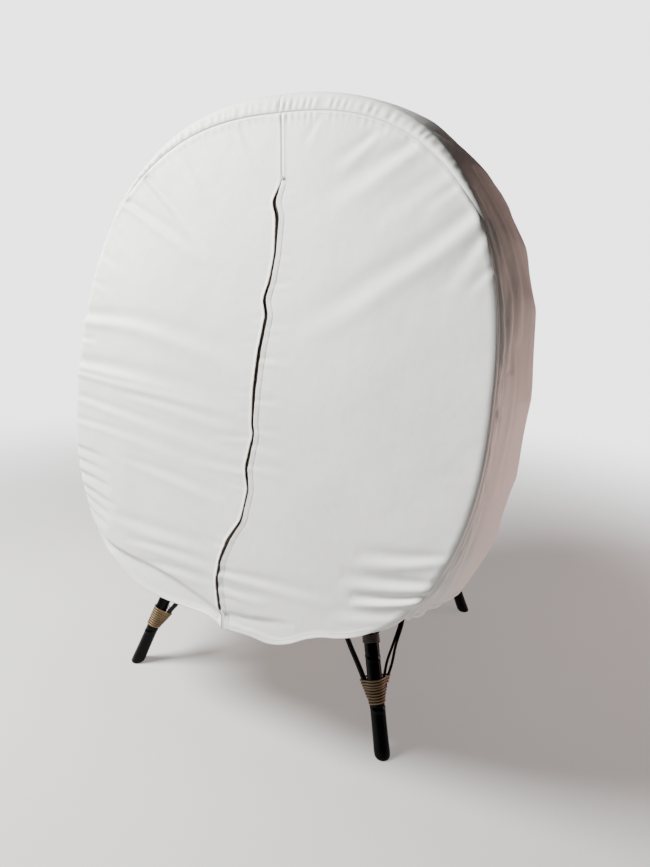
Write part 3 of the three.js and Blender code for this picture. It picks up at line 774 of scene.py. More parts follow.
# Each fold is ((x, s) points, width, depth, ridge, fade).
FRONT_FOLDS = {
    RIGHT: [
        ([(0.10, 0.60), (0.07, 0.55)], 0.010, 0.0018, 0.6, "end"),
        ([(0.24, 0.56), (0.20, 0.535), (0.15, 0.51)], 0.014, 0.0048, 0.7, "end"),
        ([(0.34, 0.54), (0.235, 0.485), (0.13, 0.43)], 0.021, 0.0070, 0.7, "end"),
        ([(0.42, 0.475), (0.33, 0.42), (0.24, 0.37)], 0.022, 0.0030, 0.6, "end"),
        ([(0.455, 0.445), (0.37, 0.395)], 0.013, 0.0028, 0.6, "end"),
        ([(0.50, 0.395), (0.44, 0.345), (0.375, 0.30), (0.31, 0.26), (0.22, 0.20), (0.05, 0.11)],
         0.023, 0.0064, 0.8, "end"),
        ([(0.52, 0.33), (0.48, 0.27), (0.43, 0.215)], 0.016, 0.0036, 0.6, "end"),
        ([(0.55, 0.27), (0.50, 0.22)], 0.010, 0.0022, 0.6, "end"),
        ([(0.01, 0.045), (0.12, 0.05)], 0.008, 0.0022, 0.7, "end"),
        ([(0.01, -0.06), (0.10, -0.055)], 0.007, 0.0018, 0.7, "end"),
        ([(0.01, -0.13), (0.12, -0.13)], 0.008, 0.0022, 0.7, "end"),
        ([(0.01, -0.17), (0.12, -0.175)], 0.009, 0.0028, 0.8, "end"),
        ([(0.01, -0.22), (0.14, -0.22)], 0.008, 0.0022, 0.7, "end"),
        ([(0.55, -0.335), (0.45, -0.36), (0.33, -0.376)], 0.012, 0.0052, 0.9, "both"),
        ([(0.54, -0.40), (0.43, -0.42), (0.30, -0.436)], 0.011, 0.0060, 0.9, "both"),
        ([(0.53, -0.43), (0.44, -0.458), (0.33, -0.482)], 0.0075, 0.0080, 1.0, "both"),
        ([(0.46, -0.49), (0.38, -0.51), (0.28, -0.525)], 0.010, 0.0022, 0.8, "both"),
        ([(-0.02, -0.505), (0.12, -0.50), (0.31, -0.492)], 0.011, 0.0050, 0.8, "end"),
        ([(-0.03, -0.545), (0.05, -0.547), (0.13, -0.537)], 0.008, 0.0040, 0.9, "end"),
        ([(-0.02, -0.60), (0.02, -0.603), (0.09, -0.595)], 0.0065, 0.0030, 0.8, "end"),
        ([(-0.01, -0.615), (0.08, -0.606), (0.20, -0.588)], 0.0045, 0.0180, None, "end"),
    ],
    LEFT: [
        ([(-0.10, 0.60), (-0.06, 0.54)], 0.010, 0.0016, 0.6, "end"),
        ([(-0.40, 0.50), (-0.29, 0.41), (-0.17, 0.30)], 0.013, 0.0080, 0.7, "end"),
        ([(-0.45, 0.435), (-0.31, 0.365), (-0.17, 0.29)], 0.012, 0.0070, 0.7, "end"),
        ([(-0.26, 0.54), (-0.17, 0.45)], 0.013, 0.0024, 0.6, "end"),
        ([(-0.50, 0.355), (-0.42, 0.29)], 0.012, 0.0028, 0.6, "end"),
        ([(-0.54, 0.295), (-0.45, 0.25)], 0.011, 0.0028, 0.6, "end"),
        ([(-0.57, 0.22), (-0.48, 0.19)], 0.010, 0.0022, 0.6, "end"),
        ([(-0.61, 0.125), (-0.40, 0.123), (-0.22, 0.093), (0.0, 0.045)], 0.019, 0.0070, 0.9, "end"),
        ([(-0.60, 0.055), (-0.52, 0.052)], 0.008, 0.0032, 0.7, "end"),
        ([(-0.61, -0.01), (-0.43, -0.02), (-0.20, -0.044), (0.0, -0.07)], 0.019, 0.0070, 0.9, "end"),
        ([(-0.60, -0.04), (-0.35, -0.062), (-0.07, -0.085)], 0.009, 0.0038, 0.9, "end"),
        ([(-0.42, -0.085), (-0.28, -0.095), (-0.01, -0.127)], 0.011, 0.0028, 0.8, "both"),
        ([(-0.56, -0.115), (-0.28, -0.155), (-0.02, -0.19)], 0.012, 0.0034, 0.8, "end"),
        ([(0.01, -0.155), (-0.11, -0.16)], 0.008, 0.0022, 0.7, "end"),
        ([(-0.56, -0.18), (-0.35, -0.20), (-0.12, -0.235)], 0.011, 0.0028, 0.8, "end"),
        ([(0.0, -0.235), (-0.18, -0.225)], 0.010, 0.0028, 0.8, "end"),
        ([(-0.40, -0.265), (-0.22, -0.285), (-0.03, -0.315)], 0.012, 0.0026, 0.8, "both"),
        ([(-0.58, -0.262), (-0.44, -0.282)], 0.0060, 0.0080, None, "end"),
        ([(-0.578, -0.296), (-0.43, -0.322)], 0.0056, 0.0100, None, "end"),
        ([(-0.572, -0.330), (-0.42, -0.362)], 0.0056, 0.0140, None, "end"),
        ([(-0.562, -0.366), (-0.40, -0.412)], 0.0060, 0.0170, None, "end"),
        ([(-0.550, -0.392), (-0.41, -0.446)], 0.0058, 0.0160, None, "end"),
        ([(-0.530, -0.424), (-0.42, -0.476)], 0.0056, 0.0130, None, "end"),
        ([(-0.44, -0.43), (-0.27, -0.44), (-0.04, -0.45)], 0.015, 0.0032, 0.7, "both"),
        ([(-0.36, -0.49), (-0.18, -0.487), (-0.02, -0.495)], 0.011, 0.0032, 0.8, "both"),
        ([(-0.33, -0.54), (-0.18, -0.535), (-0.04, -0.537)], 0.009, 0.0026, 0.8, "both"),
        ([(-0.49, -0.475), (-0.41, -0.522), (-0.33, -0.543), (-0.22, -0.560), (-0.12, -0.588),
          (-0.02, -0.622)], 0.0058, 0.0165, None, "none"),
    ],
}


def above_poles(height, room):
    """Keeps hollows in the cloth clear of the poles behind it."""
    return np.where(height < 0, -room * np.tanh(-height / room), height)


def slit_x(s):
    """Where the slit is at a height, with its corners eased."""
    at, x = np.array(sorted(SLIT_LINE)).T
    reach = 0.007
    return sum(np.interp(s + d, at, x) for d in (-reach, 0.0, reach)) / 3


def slit_gap(s):
    """Half the opening of the slit."""
    return np.where(s > SLIT_TOP, 0.0, SLIT_OPEN * through(SLIT_WIDTH, s))


def side_seam_inward(turn):
    """Where the side cloth begins: a band at the top that narrows and goes round the corner."""
    degrees = np.degrees(np.abs(turn))
    band = BAND_WIDTH * np.cos(np.clip(degrees / 57.0, 0, 1) * math.pi / 2) ** 0.85
    return band + SEAM_FAR_ROUND * smooth_step(degrees, 50, 66)


def seam_inward(turn, side):
    """Where the front cloth ends, measured inward from the outline."""
    lower = through(LOWER_EDGE[side], np.abs(rim(STATIONS[0], turn)[0]))
    on_hem = smooth_step(np.degrees(np.abs(turn)), 135, 142)
    return side_seam_inward(turn) + (lower - SEAM_FAR_ROUND) * on_hem


def graded(length, start, middle, end, growth):
    """Places from 0 to 1 whose spacing grows from start to middle and shrinks again to end."""
    places = [0.0]
    while places[-1] < length:
        here = places[-1]
        places.append(here + min(middle, start + growth * here, end + growth * max(length - here, 0)))
    return np.array(places) / places[-1]


def pull_wrinkles(side, seed):
    """Short wrinkles that run out from the slit."""
    rng = np.random.default_rng(seed)
    folds = []
    heights = [rng.uniform(*group) for group in ((-0.64, -0.40, 16), (-0.36, 0.16, 20), (0.18, 0.46, 8))]
    for s in np.concatenate(heights):
        length = rng.uniform(0.025, 0.085)
        start = slit_x(s) + side * 0.004
        slant = rng.uniform(-0.25, 0.25)
        ends = [(start, s), (start + side * length, s + slant * length)]
        folds.append((ends, rng.uniform(0.0035, 0.0065), rng.uniform(0.0004, 0.0012), 0.8, "end"))
    return folds


def pucker(turn):
    """Gathers along the top seam, about 23 mm apart and uneven. They reach further down the left side."""
    degrees = np.degrees(turn)
    upper = 1 - np.where(degrees > 0, smooth_step(degrees, 32, 60), smooth_step(-degrees, 66, 96))
    uneven = 0.65 + 0.5 * soft_noise(turn * 31, 0, 10)
    return upper * uneven * np.sin(turn * 168 + 3.4 * soft_noise(turn * 17, 0, 8))


def front_relief(x, s, turn, inward, side):
    """How far the front cloth stands out of the face, without its lips and seams."""
    height = -0.006 * np.clip(inward / 0.5, 0, 1) ** 0.8
    height = folded(height, x, s, FRONT_FOLDS[side] + pull_wrinkles(side, 11 + side))
    height = height + 0.0022 * soft_noise(x * 4.2 + 9, s * 4.2 + 5, 3)
    height = height + 0.0009 * soft_noise(x * 13 + 3, s * 13, 4)
    height = height + 0.00022 * soft_noise(x * 55, s * 55, 5)
    height = height + 0.00012 * soft_noise(x * 120, s * 120, 6)
    from_seam = inward - seam_inward(turn, side)
    reach = 0.010 + 0.016 * (0.5 + 0.5 * soft_noise(turn * 26, 0, 9))
    height = height + 0.0014 * pucker(turn) * bump(from_seam, reach)
    return above_poles(height, FRONT_ROOM)


def seam_profile(from_seam, puff=0.0016, dip=0.0022):
    """The dip in which two cloths are sewn together, with the puffed cloth beside it."""
    return (puff * bump(from_seam - 0.009, 0.007)
            - dip * bump(from_seam, 0.0035))


def lip_profile(from_slit, s, side):
    """Cloth turned outwards along the slit, with its stitched hem, and a sewn join above the slit."""
    stands, varies, flares = (0.0034, 0.0011, 0.002) if side == LEFT else (0.0009, 0.0004, 0.0005)
    strength = stands + varies * soft_noise(s * 24, side * 3.3, 21)
    strength = strength + flares * smooth_step(-s, 0.38, 0.5)
    lip = strength * bump(from_slit, 0.0062)
    stitched = -0.0006 * bump(from_slit - 0.0135, 0.0022)
    flat_hem = 0.0006 * (1 - smooth_step(from_slit, 0.012, 0.016))
    join = -0.0010 * bump(from_slit, 0.0022) + 0.0006 * bump(from_slit - 0.006, 0.004)
    fade = smooth_step(SLIT_TOP - s, -0.004, 0.035)
    return fade * (lip + stitched + flat_hem) + (1 - fade) * join


def front_grid(side):
    a = graded(0.60, 0.0014, 0.0060, 0.0028, 0.10)
    b = graded(1.35, 0.0030, 0.0060, 0.0030, 0.08) * 2 - 1
    a, b = np.meshgrid(a, b)
    wide, tall = a * np.sqrt(1 - b * b / 2), b * np.sqrt(1 - a * a / 2)
    reach = np.hypot(wide, tall)
    turn = np.arctan2(side * wide, tall)
    across, rise = rim(STATIONS[0], turn)
    outline = np.hypot(across, rise)
    inward = outline - reach * (outline - seam_inward(turn, side))
    return turn, inward


def make_front_panel(side):
    turn, inward = front_grid(side)
    points = cover_point(turn, inward)
    x, s = face_place(points)
    spread = np.clip(1 - (x / 0.30) ** 2, 0, 1) ** 2
    opening = side * slit_gap(s) * bump(np.abs(x), 0.03)
    from_slit = np.abs(x)
    moved = x + slit_x(s) * spread + opening
    points[..., 0] = moved
    normals = grid_normals(points) * side
    from_seam = inward - seam_inward(turn, side)
    held = 1 - bump(from_seam, 0.007)
    height = front_relief(moved, s, turn, inward, side) * held
    height = height + lip_profile(from_slit, s, side)
    degrees = np.degrees(np.abs(turn))
    height = height + seam_profile(from_seam, 0.0010, 0.0009) * (1 - smooth_step(degrees, 136, 141))
    hem = smooth_step(degrees, 139, 142)
    height = height + hem * (0.0010 * (1 - smooth_step(from_seam, 0.012, 0.014)))
    points = points + normals * height[..., None]
    flat = np.stack([moved, s], -1)
    shape = Shape()
    thickness = CLOTH * (1 + HEM_EXTRA * (from_slit < 0.013) + HEM_EXTRA * hem * (from_seam < 0.013))
    if side == RIGHT:
        thick_sheet(shape, points, flat, thickness)
    else:
        thick_sheet(shape, points[:, ::-1], flat[:, ::-1], thickness[:, ::-1])
    name = SIDE_NAMES[side]
    replaced = (f"front_panel_{name}", f"door_flap_{name}")
    return shape.piece(f"cover_front_{name}", "cover_cloth", None, replaced)


# Rib directions, in degrees, between which the side cloth hangs a little flatter.
RIBS = [0, 31, 46, 60, 71, 90, 106, 117, 134, 160]
# Folds in the side cloth: places are (distance behind the front edge, distance round from the top).
SIDE_FOLDS = [
    ([(0.030, 0.56), (0.055, 0.66), (0.065, 0.78)], 0.010, 0.0040, 0.9, "both"),
    ([(0.045, 0.62), (0.085, 0.76), (0.075, 0.92)], 0.012, 0.0074, 0.9, "both"),
    ([(0.026, 0.74), (0.040, 0.84), (0.032, 0.95)], 0.007, 0.0034, 0.9, "both"),
    ([(0.085, 0.50), (0.15, 0.68), (0.16, 0.86)], 0.016, 0.0068, 0.8, "both"),
    ([(0.10, 0.84), (0.13, 1.00), (0.11, 1.16)], 0.014, 0.0050, 0.8, "both"),
    ([(0.20, 0.62), (0.25, 0.80), (0.24, 1.02)], 0.017, 0.0056, 0.8, "both"),
    ([(0.33, 0.70), (0.36, 0.94), (0.30, 1.20)], 0.020, 0.0050, 0.8, "both"),
    ([(0.05, 1.18), (0.07, 1.30), (0.13, 1.42)], 0.010, 0.0043, 0.9, "both"),
    ([(0.02, 1.30), (0.08, 1.44), (0.20, 1.56)], 0.011, 0.0050, 0.9, "both"),
    ([(0.015, 1.40), (0.09, 1.54), (0.26, 1.64)], 0.010, 0.0053, 0.9, "both"),
    ([(0.010, 1.48), (0.10, 1.62), (0.30, 1.70)], 0.009, 0.0050, 0.9, "both"),
    ([(0.05, 1.70), (0.22, 1.66), (0.42, 1.56)], 0.012, 0.0037, 0.9, "both"),
    ([(0.04, 0.24), (0.20, 0.33), (0.46, 0.36)], 0.018, 0.0035, 0.8, "both"),
    ([(0.03, 0.40), (0.20, 0.50), (0.50, 0.50)], 0.016, 0.0037, 0.8, "both"),
    ([(0.45, 0.80), (0.50, 1.05), (0.42, 1.34)], 0.018, 0.0040, 0.8, "both"),
]


def seam_wrinkles(seed):
    """Short wrinkles that run along the sewn corner at the side of the pod."""
    rng = np.random.default_rng(seed)
    folds = []
    for place in rng.uniform(0.74, 1.66, 34):
        behind, length, slant = rng.uniform(0.013, 0.040), rng.uniform(0.03, 0.09), rng.uniform(-0.05, 0.30)
        ends = [(behind, place), (behind + slant * length, place + length)]
        folds.append((ends, rng.uniform(0.0035, 0.0060), rng.uniform(0.0009, 0.0022), 0.8, "both"))
    return folds


def make_side_panel(side):
    seam_columns = 20
    corner_end, far_end = -0.036, -depth_of(REAR_SEAM_AT)
    first = np.linspace(0, 1, seam_columns, endpoint=False)
    second = graded(-far_end, 0.005, 0.0085, 0.004, 0.08)
    round_places = graded(2.05, 0.0045, 0.0068, 0.0045, 0.08)
    reach = -np.concatenate([np.zeros(seam_columns), second * (corner_end - far_end)]) + corner_end
    turn = np.zeros((len(round_places), len(reach)))
    for _ in range(2):
        at = station_at(np.maximum(-reach, 0)) * np.ones_like(turn)
        turn = side * round_places[:, None] * hem_turn(at)
    seam = side_seam_inward(turn)
    inward = np.concatenate([seam[:, :seam_columns] * (1 - first) + corner_end * first,
                             np.broadcast_to(reach[seam_columns:], (len(round_places), len(second)))], axis=1)
    points = cover_point(turn, inward)
    normals = grid_normals(points)
    middle = points - np.stack([0 * turn, points[..., 1], points[..., 2] * 0 + 0.9], -1)
    normals *= np.sign(np.sum(normals * middle, -1, keepdims=True).mean())
    degrees = np.degrees(np.abs(turn))
    behind = np.maximum(-inward, 0)
    round_by = ROUND_RADIUS * np.abs(turn)
    from_seam = seam - inward
    height = np.zeros_like(turn)
    for low, high in zip(RIBS[:-1], RIBS[1:]):
        t = np.clip((degrees - low) / (high - low), 0, 1)
        sag = 0.6 * 4 * t * (1 - t) + 0.4 * np.sin(math.pi * t) ** 2
        height -= 0.0050 * sag * smooth_step(behind, 0.02, 0.20)
    folds = [([(place, -round_to) for place, round_to in line], *rest)
             for line, *rest in SIDE_FOLDS + seam_wrinkles(25 + side)]
    height = folded(height, behind, -round_by, folds)
    height += 0.0030 * soft_noise(behind * 5 + side, round_by * 5, 31) * smooth_step(behind, 0.0, 0.1)
    height += 0.0012 * soft_noise(behind * 14, round_by * 14 + side, 32) * smooth_step(behind, 0.0, 0.05)
    height += 0.00025 * soft_noise(behind * 60, round_by * 60, 33)
    upper = 1 - smooth_step(degrees, 66, 96)
    height += 0.0019 * pucker(turn) * bump(from_seam - 0.014, 0.014) + 0.0012 * upper
    height = above_poles(height, SIDE_ROOM)
    from_rear = -far_end + inward
    height *= (1 - bump(from_seam, 0.007)) * (1 - bump(from_rear, 0.010))
    height += seam_profile(from_seam, 0.0010, 0.0009)
    height -= 0.0020 * bump(from_rear, 0.004)
    to_hem = ROUND_RADIUS * (hem_turn(station_at(behind)) - np.abs(turn))
    height += 0.0010 * (1 - smooth_step(to_hem, 0.014, 0.016)) - 0.0008 * bump(to_hem - 0.0165, 0.002)
    points = points + normals * height[..., None]
    flat = np.stack([inward, round_by], -1)
    thickness = CLOTH * (1 + HEM_EXTRA * (to_hem < 0.015))
    shape = Shape()
    if side == RIGHT:
        thick_sheet(shape, points[:, ::-1], flat[:, ::-1], thickness[:, ::-1])
    else:
        thick_sheet(shape, points, flat, thickness)
    name = SIDE_NAMES[side]
    return shape.piece(f"cover_side_{name}", "cover_cloth", "frame", (f"side_panel_{name}",))


BACK_FOLDS = [
    ([(-0.46, 0.20), (-0.30, 0.10), (-0.10, 0.06)], 0.020, 0.0040, 0.8, "end"),
    ([(0.46, 0.16), (0.30, 0.09), (0.08, 0.05)], 0.020, 0.0044, 0.8, "end"),
    ([(-0.44, -0.22), (-0.26, -0.20), (-0.06, -0.10)], 0.018, 0.0036, 0.8, "end"),
    ([(0.45, -0.20), (0.28, -0.16), (0.08, -0.08)], 0.018, 0.0038, 0.8, "end"),
    ([(-0.30, 0.46), (-0.20, 0.32), (-0.10, 0.20)], 0.018, 0.0034, 0.8, "end"),
    ([(0.30, 0.46), (0.22, 0.34), (0.12, 0.24)], 0.018, 0.0036, 0.8, "end"),
    ([(-0.34, -0.42), (-0.18, -0.45), (0.02, -0.46), (0.22, -0.44)], 0.014, 0.0046, 0.9, "both"),
    ([(0.36, -0.38), (0.20, -0.36), (0.0, -0.38)], 0.014, 0.0036, 0.9, "both"),
]


def dome_depth(reach):
    return BACK_DEPTH * np.maximum(1 - np.abs(reach) ** 2.4, 0) ** 0.75


def make_back_panel():
    places = graded(1.1, 0.0035, 0.0075, 0.0035, 0.09) * 2 - 1
    a, b = np.meshgrid(places, places)
    wide, tall = a * np.sqrt(1 - b * b / 2), b * np.sqrt(1 - a * a / 2)
    reach = np.minimum(np.hypot(wide, tall), 1)
    turn = np.arctan2(wide, tall)
    back = section(1.0)
    across, rise = rim(back, turn)
    points = lift(back, across * reach * 0.998, rise * reach * 0.998, -(dome_depth(reach) + 0.001))
    normals = grid_normals(points)
    normals *= np.sign(np.sum(normals * [0, 1.0, 0], -1).mean())
    x, s = across * reach, rise * reach
    degrees = np.degrees(np.abs(turn))
    from_rim = (1 - reach) * np.hypot(across, rise)
    height = 0.0030 * soft_noise(x * 4.5 + 2, s * 4.5, 41) + 0.0011 * soft_noise(x * 15, s * 15, 42)
    height += 0.00025 * soft_noise(x * 60, s * 60, 43)
    gather = np.sin(turn * 34 + 2.2 * soft_noise(turn * 6 + 30, 0, 44))
    height += 0.0026 * gather * np.exp(-from_rim / 0.06)
    height = folded(height, x, s, BACK_FOLDS)
    middle_seam = np.abs(x)
    height += 0.0012 * bump(middle_seam - 0.008, 0.005) - 0.0018 * bump(middle_seam, 0.0028)
    height *= 1 - bump(from_rim, 0.008)
    height += seam_profile(from_rim) * (1 - smooth_step(degrees, 138, 144))
    points = points + normals * height[..., None]
    shape = Shape()
    thick_sheet(shape, points[:, ::-1], np.stack([x, s], -1)[:, ::-1], CLOTH)
    return shape.piece("cover_back", "cover_cloth", "frame", ("back_panel",))


# ---- rattan poles ----
def pole_path(points, radius, seed, gaps=(0.15, 0.23)):
    """A path with the joints of a rattan stem: a raised ring with a groove beside it."""
    rng = np.random.default_rng(seed)
    ends, step = 0.06, 0.010
    curve = spline(points, 0.008) if len(points) > 2 else np.asarray(points, float)
    length = steps_along(curve)[-1]
    rings, place = [], ends + rng.uniform(0, 0.05)
    while place < length - ends * 0.5:
        rings.append(place)
        place += rng.uniform(*gaps)
    near = np.array([-0.014, -0.009, -0.0065, -0.004, -0.002, 0, 0.002, 0.004, 0.0065, 0.010, 0.016])
    base = np.linspace(0, length, max(2, int(length / step)))
    if rings:
        base = base[np.min(np.abs(base[:, None] - np.array(rings)[None]), axis=1) > 0.018]
        base = np.concatenate([base, (np.array(rings)[:, None] + near[None]).ravel()])
    places = np.unique(np.clip(base, 0, length))
    size = radius * (1 + 0.012 * soft_noise(places * 9, 0, seed))
    for ring in rings:
        size += radius * (0.060 * bump(places - ring, 0.0032)
                          - 0.040 * bump(places - ring - 0.0062, 0.0026))
    return at_lengths(curve, places), size


def add_pole(name, points, radius, seed, material="black_pole", sides=20, **options):
    """A pole of the frame that replaces the node of its own name."""
    shape = Shape()
    path, size = pole_path(points, radius, seed, **options)
    tube(shape, path, size, sides)
    return shape.piece(name, material, "frame", (name,))


def leg_centre(side, foot_y, inward, z):
    return np.array([side * (FOOT["x"] - LEAN["x"] * z), foot_y + inward * LEAN["y"] * z, z])


def make_leg(name, side, foot_y, inward, seed):
    rng = np.random.default_rng(seed)
    foot = [(0, 0.0168), (0.0012, 0.0186), (0.0035, 0.0200), (0.008, 0.0208), (0.018, 0.0209),
            (0.034, 0.0204), (0.052, 0.0201), (0.075, 0.0199), (0.095, 0.0199)]
    rings = [0.105 + rng.uniform(-0.004, 0.006), 0.228 + rng.uniform(-0.01, 0.01), 0.330]
    heights = np.concatenate([np.linspace(0, 0.095, 30), np.linspace(0.095, LEG_TOP - 0.002, 90),
                              [LEG_TOP - 0.0008, LEG_TOP]])
    heights = np.unique(np.concatenate([[f[0] for f in foot], heights]))
    size = np.interp(heights, *zip(*(foot + [(LEG_TOP - 0.004, LEG_RADIUS), (LEG_TOP, LEG_RADIUS - 0.004)])))
    for ring in rings:
        size += 0.0010 * bump(heights - ring, 0.0030)
        size -= 0.0007 * bump(heights - ring - 0.006, 0.0026)
    sides = 28
    turn = circle(sides)
    points = np.array([leg_centre(side, foot_y, inward, z) for z in heights])
    ring = points[:, None] + size[:, None, None] * np.concatenate([turn, np.zeros((sides, 1))], axis=1)[None]
    faces = ring_faces(len(heights), sides)
    flat = np.stack(np.broadcast_arrays(np.arange(sides)[None] * 0.0043, heights[:, None]), -1)
    shape = Shape()
    shape.add(ring, faces, flat)
    return shape.piece(name, "black_pole", "frame", (name,))


# Where a cane leaves a leg: (height above the foot of the lashing, cane centre from leg centre).
CROSS_CANE = [(0.004, 0.0185), (0.034, 0.027), (0.062, 0.0375), (0.110, 0.060), (0.158, 0.086)]
SIDE_CANE = [(0.004, 0.0185), (0.034, 0.029), (0.062, 0.0455), (0.110, 0.078), (0.150, 0.110)]


def cane_end(spots, side, foot_y, inward, away):
    return [leg_centre(side, foot_y, inward, LASHING_LOW + up) + np.array(away) * out for up, out in spots]


def side_cane_away(side, inward):
    return (side * math.cos(SIDE_CANE_TURN), inward * math.sin(SIDE_CANE_TURN), 0.0)


def cross_brace_path(foot_y, inward):
    left = cane_end(CROSS_CANE, LEFT, foot_y, inward, (1, 0, 0))
    right = cane_end(CROSS_CANE, RIGHT, foot_y, inward, (-1, 0, 0))
    y = foot_y + inward * 0.094
    return left + [(-0.170, y, 0.301), (0, y, 0.309), (0.170, y, 0.301)] + right[::-1]


def side_brace_path(side):
    front = cane_end(SIDE_CANE, side, FOOT["front"], 1, side_cane_away(side, 1))
    back = cane_end(SIDE_CANE, side, FOOT["back"], -1, side_cane_away(side, -1))
    x = side * 0.372
    return front + [(x, -0.170, 0.307), (x, 0.024, 0.318), (x, 0.210, 0.307)] + back[::-1]


def make_cross_brace(end):
    foot_y, inward = ENDS[end]
    path, size = pole_path(cross_brace_path(foot_y, inward), CANE_RADIUS, 61 + inward, gaps=(0.11, 0.17))
    shape = Shape()
    tube(shape, path, size * (0.45 + 0.55 * smooth_step(from_ends(path), 0.0, 0.045)), 14)
    return shape.piece(f"brace_{end}", "cane", "frame", (f"brace_{end}",))


def make_side_brace(side):
    shape = Shape()
    curve = spline(side_brace_path(side), 0.008)
    tangents = unit(np.gradient(curve, axis=0))
    sideways = unit(np.cross(tangents, UP))
    apart = 0.0036 + 0.0034 * bump(from_ends(curve) - 0.095, 0.035)
    for strand in (1, -1):
        beside = curve + strand * sideways * apart[:, None]
        path, size = pole_path(beside, 0.0037, 71 + strand + side, gaps=(0.10, 0.16))
        tube(shape, path, size * (0.5 + 0.5 * smooth_step(from_ends(path), 0.0, 0.03)), 12)
    name = f"brace_{SIDE_NAMES[side]}"
    return shape.piece(name, "cane", "frame", (name,))


# ---- lashings ----
def hull_loop(circles):
    """The string drawn tight round circles (x, y, radius): its points and outward directions."""
    angle = np.linspace(0, 2 * math.pi, 96, endpoint=False)
    ways = np.stack([np.cos(angle), np.sin(angle)], -1)
    centres = np.array([c[:2] for c in circles])
    radii = np.array([c[2] for c in circles])
    reach = ways @ centres.T + radii
    best = np.argmax(reach, axis=1)
    return centres[best] + ways * radii[best][:, None], ways


def wind(shape, circles_at, low, high, width, thick, seed, lean, pitch, per_turn=52, lead=0.0):
    """Winds a strip upwards, square to the leg, round the circles that circles_at gives for a height."""
    rng = np.random.default_rng(seed)
    turns = max(1, int(round((high - low) / (width * pitch))))
    jitter = rng.uniform(-0.10, 0.10, turns + 2)
    swell = rng.uniform(-0.00035, 0.00035, turns + 2)
    points, ups = [], []
    for i in range(turns * per_turn + 1):
        share = i / per_turn
        wobble = np.interp(share, np.arange(turns + 2), jitter) * math.sin(share * 2 * math.pi + seed)
        z = low + (high - low) * np.clip((share + 0.35 * wobble) / turns, 0, 1)
        loop, ways = hull_loop(circles_at(z))
        loop, ways = np.vstack([loop, loop[:1]]), np.vstack([ways, ways[:1]])
        along = steps_along(loop)
        place = (share + lead) % 1 * along[-1]
        spot = [np.interp(place, along, loop[:, k]) for k in (0, 1)]
        way = unit(np.array([np.interp(place, along, ways[:, k]) for k in (0, 1)] + [0.0]))
        out = np.interp(share, np.arange(turns + 2), swell) + 0.0002
        rise = -np.dot(np.array(spot) - circles_at(z)[0][:2], lean) / (1 + lean @ lean)
        points.append(np.array([*(np.array(spot) + lean * rise), z + rise]) + way * out)
        ups.append(way)
    half = width / 2
    outline = [(-half, 0), (half, 0), (half * 0.90, thick * 0.50), (half * 0.50, thick * 0.88), (0, thick),
               (-half * 0.50, thick * 0.88), (-half * 0.90, thick * 0.50)]
    sweep(shape, points, outline, ups=ups)


def lean_of(side, inward):
    return np.array([-side * LEAN["x"], inward * LEAN["y"]])


def lashing_circles(side, foot_y, inward):
    away = side_cane_away(side, inward)

    def circles_at(z):
        centre = leg_centre(side, foot_y, inward, z)
        up = z - LASHING_LOW
        cross_out = np.interp(up, *zip(*CROSS_CANE))
        side_out = np.interp(up, *zip(*SIDE_CANE))
        grown = 0.45 + 0.55 * smooth_step(up, 0.0, 0.045)
        return [(centre[0], centre[1], LEG_RADIUS + 0.0006),
                (centre[0] - side * cross_out, centre[1], CANE_RADIUS * grown),
                (centre[0] + away[0] * side_out, centre[1] + away[1] * side_out, CANE_RADIUS * grown)]

    return circles_at


def make_lashing(end, side):
    foot_y, inward = ENDS[end]
    shape = Shape()
    low, high = LASHING_LOW + 0.004, LASHING_LOW + LASHING_HEIGHT - 0.001
    wind(shape, lashing_circles(side, foot_y, inward), low, high, 0.0060, 0.0023, 81 + side + 3 * inward,
         lean_of(side, inward), 1.06, lead=0.4)
    name = f"lashing_{end}_{SIDE_NAMES[side]}"
    return shape.piece(name, "rattan_binding", "frame", (name,))


def make_rail_lashing(end, side):
    foot_y, inward = ENDS[end]

    def circles_at(z):
        centre = leg_centre(side, foot_y, inward, z)
        return [(centre[0], centre[1], LEG_RADIUS + 0.0012)]

    shape = Shape()
    wind(shape, circles_at, 0.2580, 0.2770, 0.0040, 0.0020, 91 + side + 3 * inward,
         lean_of(side, inward), 1.05, per_turn=44)
    name = f"rail_lashing_{end}_{SIDE_NAMES[side]}"
    return shape.piece(name, "dark_binding", "frame", (name,))


def make_base():
    seed = 100
    for end, (foot_y, inward) in ENDS.items():
        for side in (RIGHT, LEFT):
            seed += 1
            make_leg(f"leg_{end}_{SIDE_NAMES[side]}", side, foot_y, inward, seed)
            make_lashing(end, side)
            make_rail_lashing(end, side)
        make_cross_brace(end)
        add_straight(f"cross_rail_{end}", seed + 20)
    for side in (RIGHT, LEFT):
        make_side_brace(side)
        add_straight(f"side_rail_{SIDE_NAMES[side]}", seed + 30 + side)
        add_straight(f"floor_joist_{SIDE_NAMES[side]}", seed + 40 + side)


def add_straight(name, seed):
    """A straight pole along the longest side of its packed box."""
    low, high, size, middle = box_of(name)
    axis = int(np.argmax(size))
    radius = sorted(size)[0] / 2
    start, finish = middle.copy(), middle.copy()
    start[axis], finish[axis] = low[axis] + radius * 0.35, high[axis] - radius * 0.35
    return add_pole(name, [start, finish], radius / 1.03, seed)


def make_hoop(name, shape, inset, drop, forward, radius, seed):
    turn = np.linspace(math.pi, 3 * math.pi, 220, endpoint=False)
    across, rise = rim(shape, turn, inset, drop)
    points = lift(shape, across, rise, forward)
    path, size = pole_path(np.vstack([points, points[:1]]), radius, seed, gaps=(0.20, 0.30))
    made = Shape()
    tube(made, path[:-1], size[:-1], 20, closed=True)
    return made.piece(name, "black_pole", "frame", (name,))


STRINGER_RADIUS = 0.0106
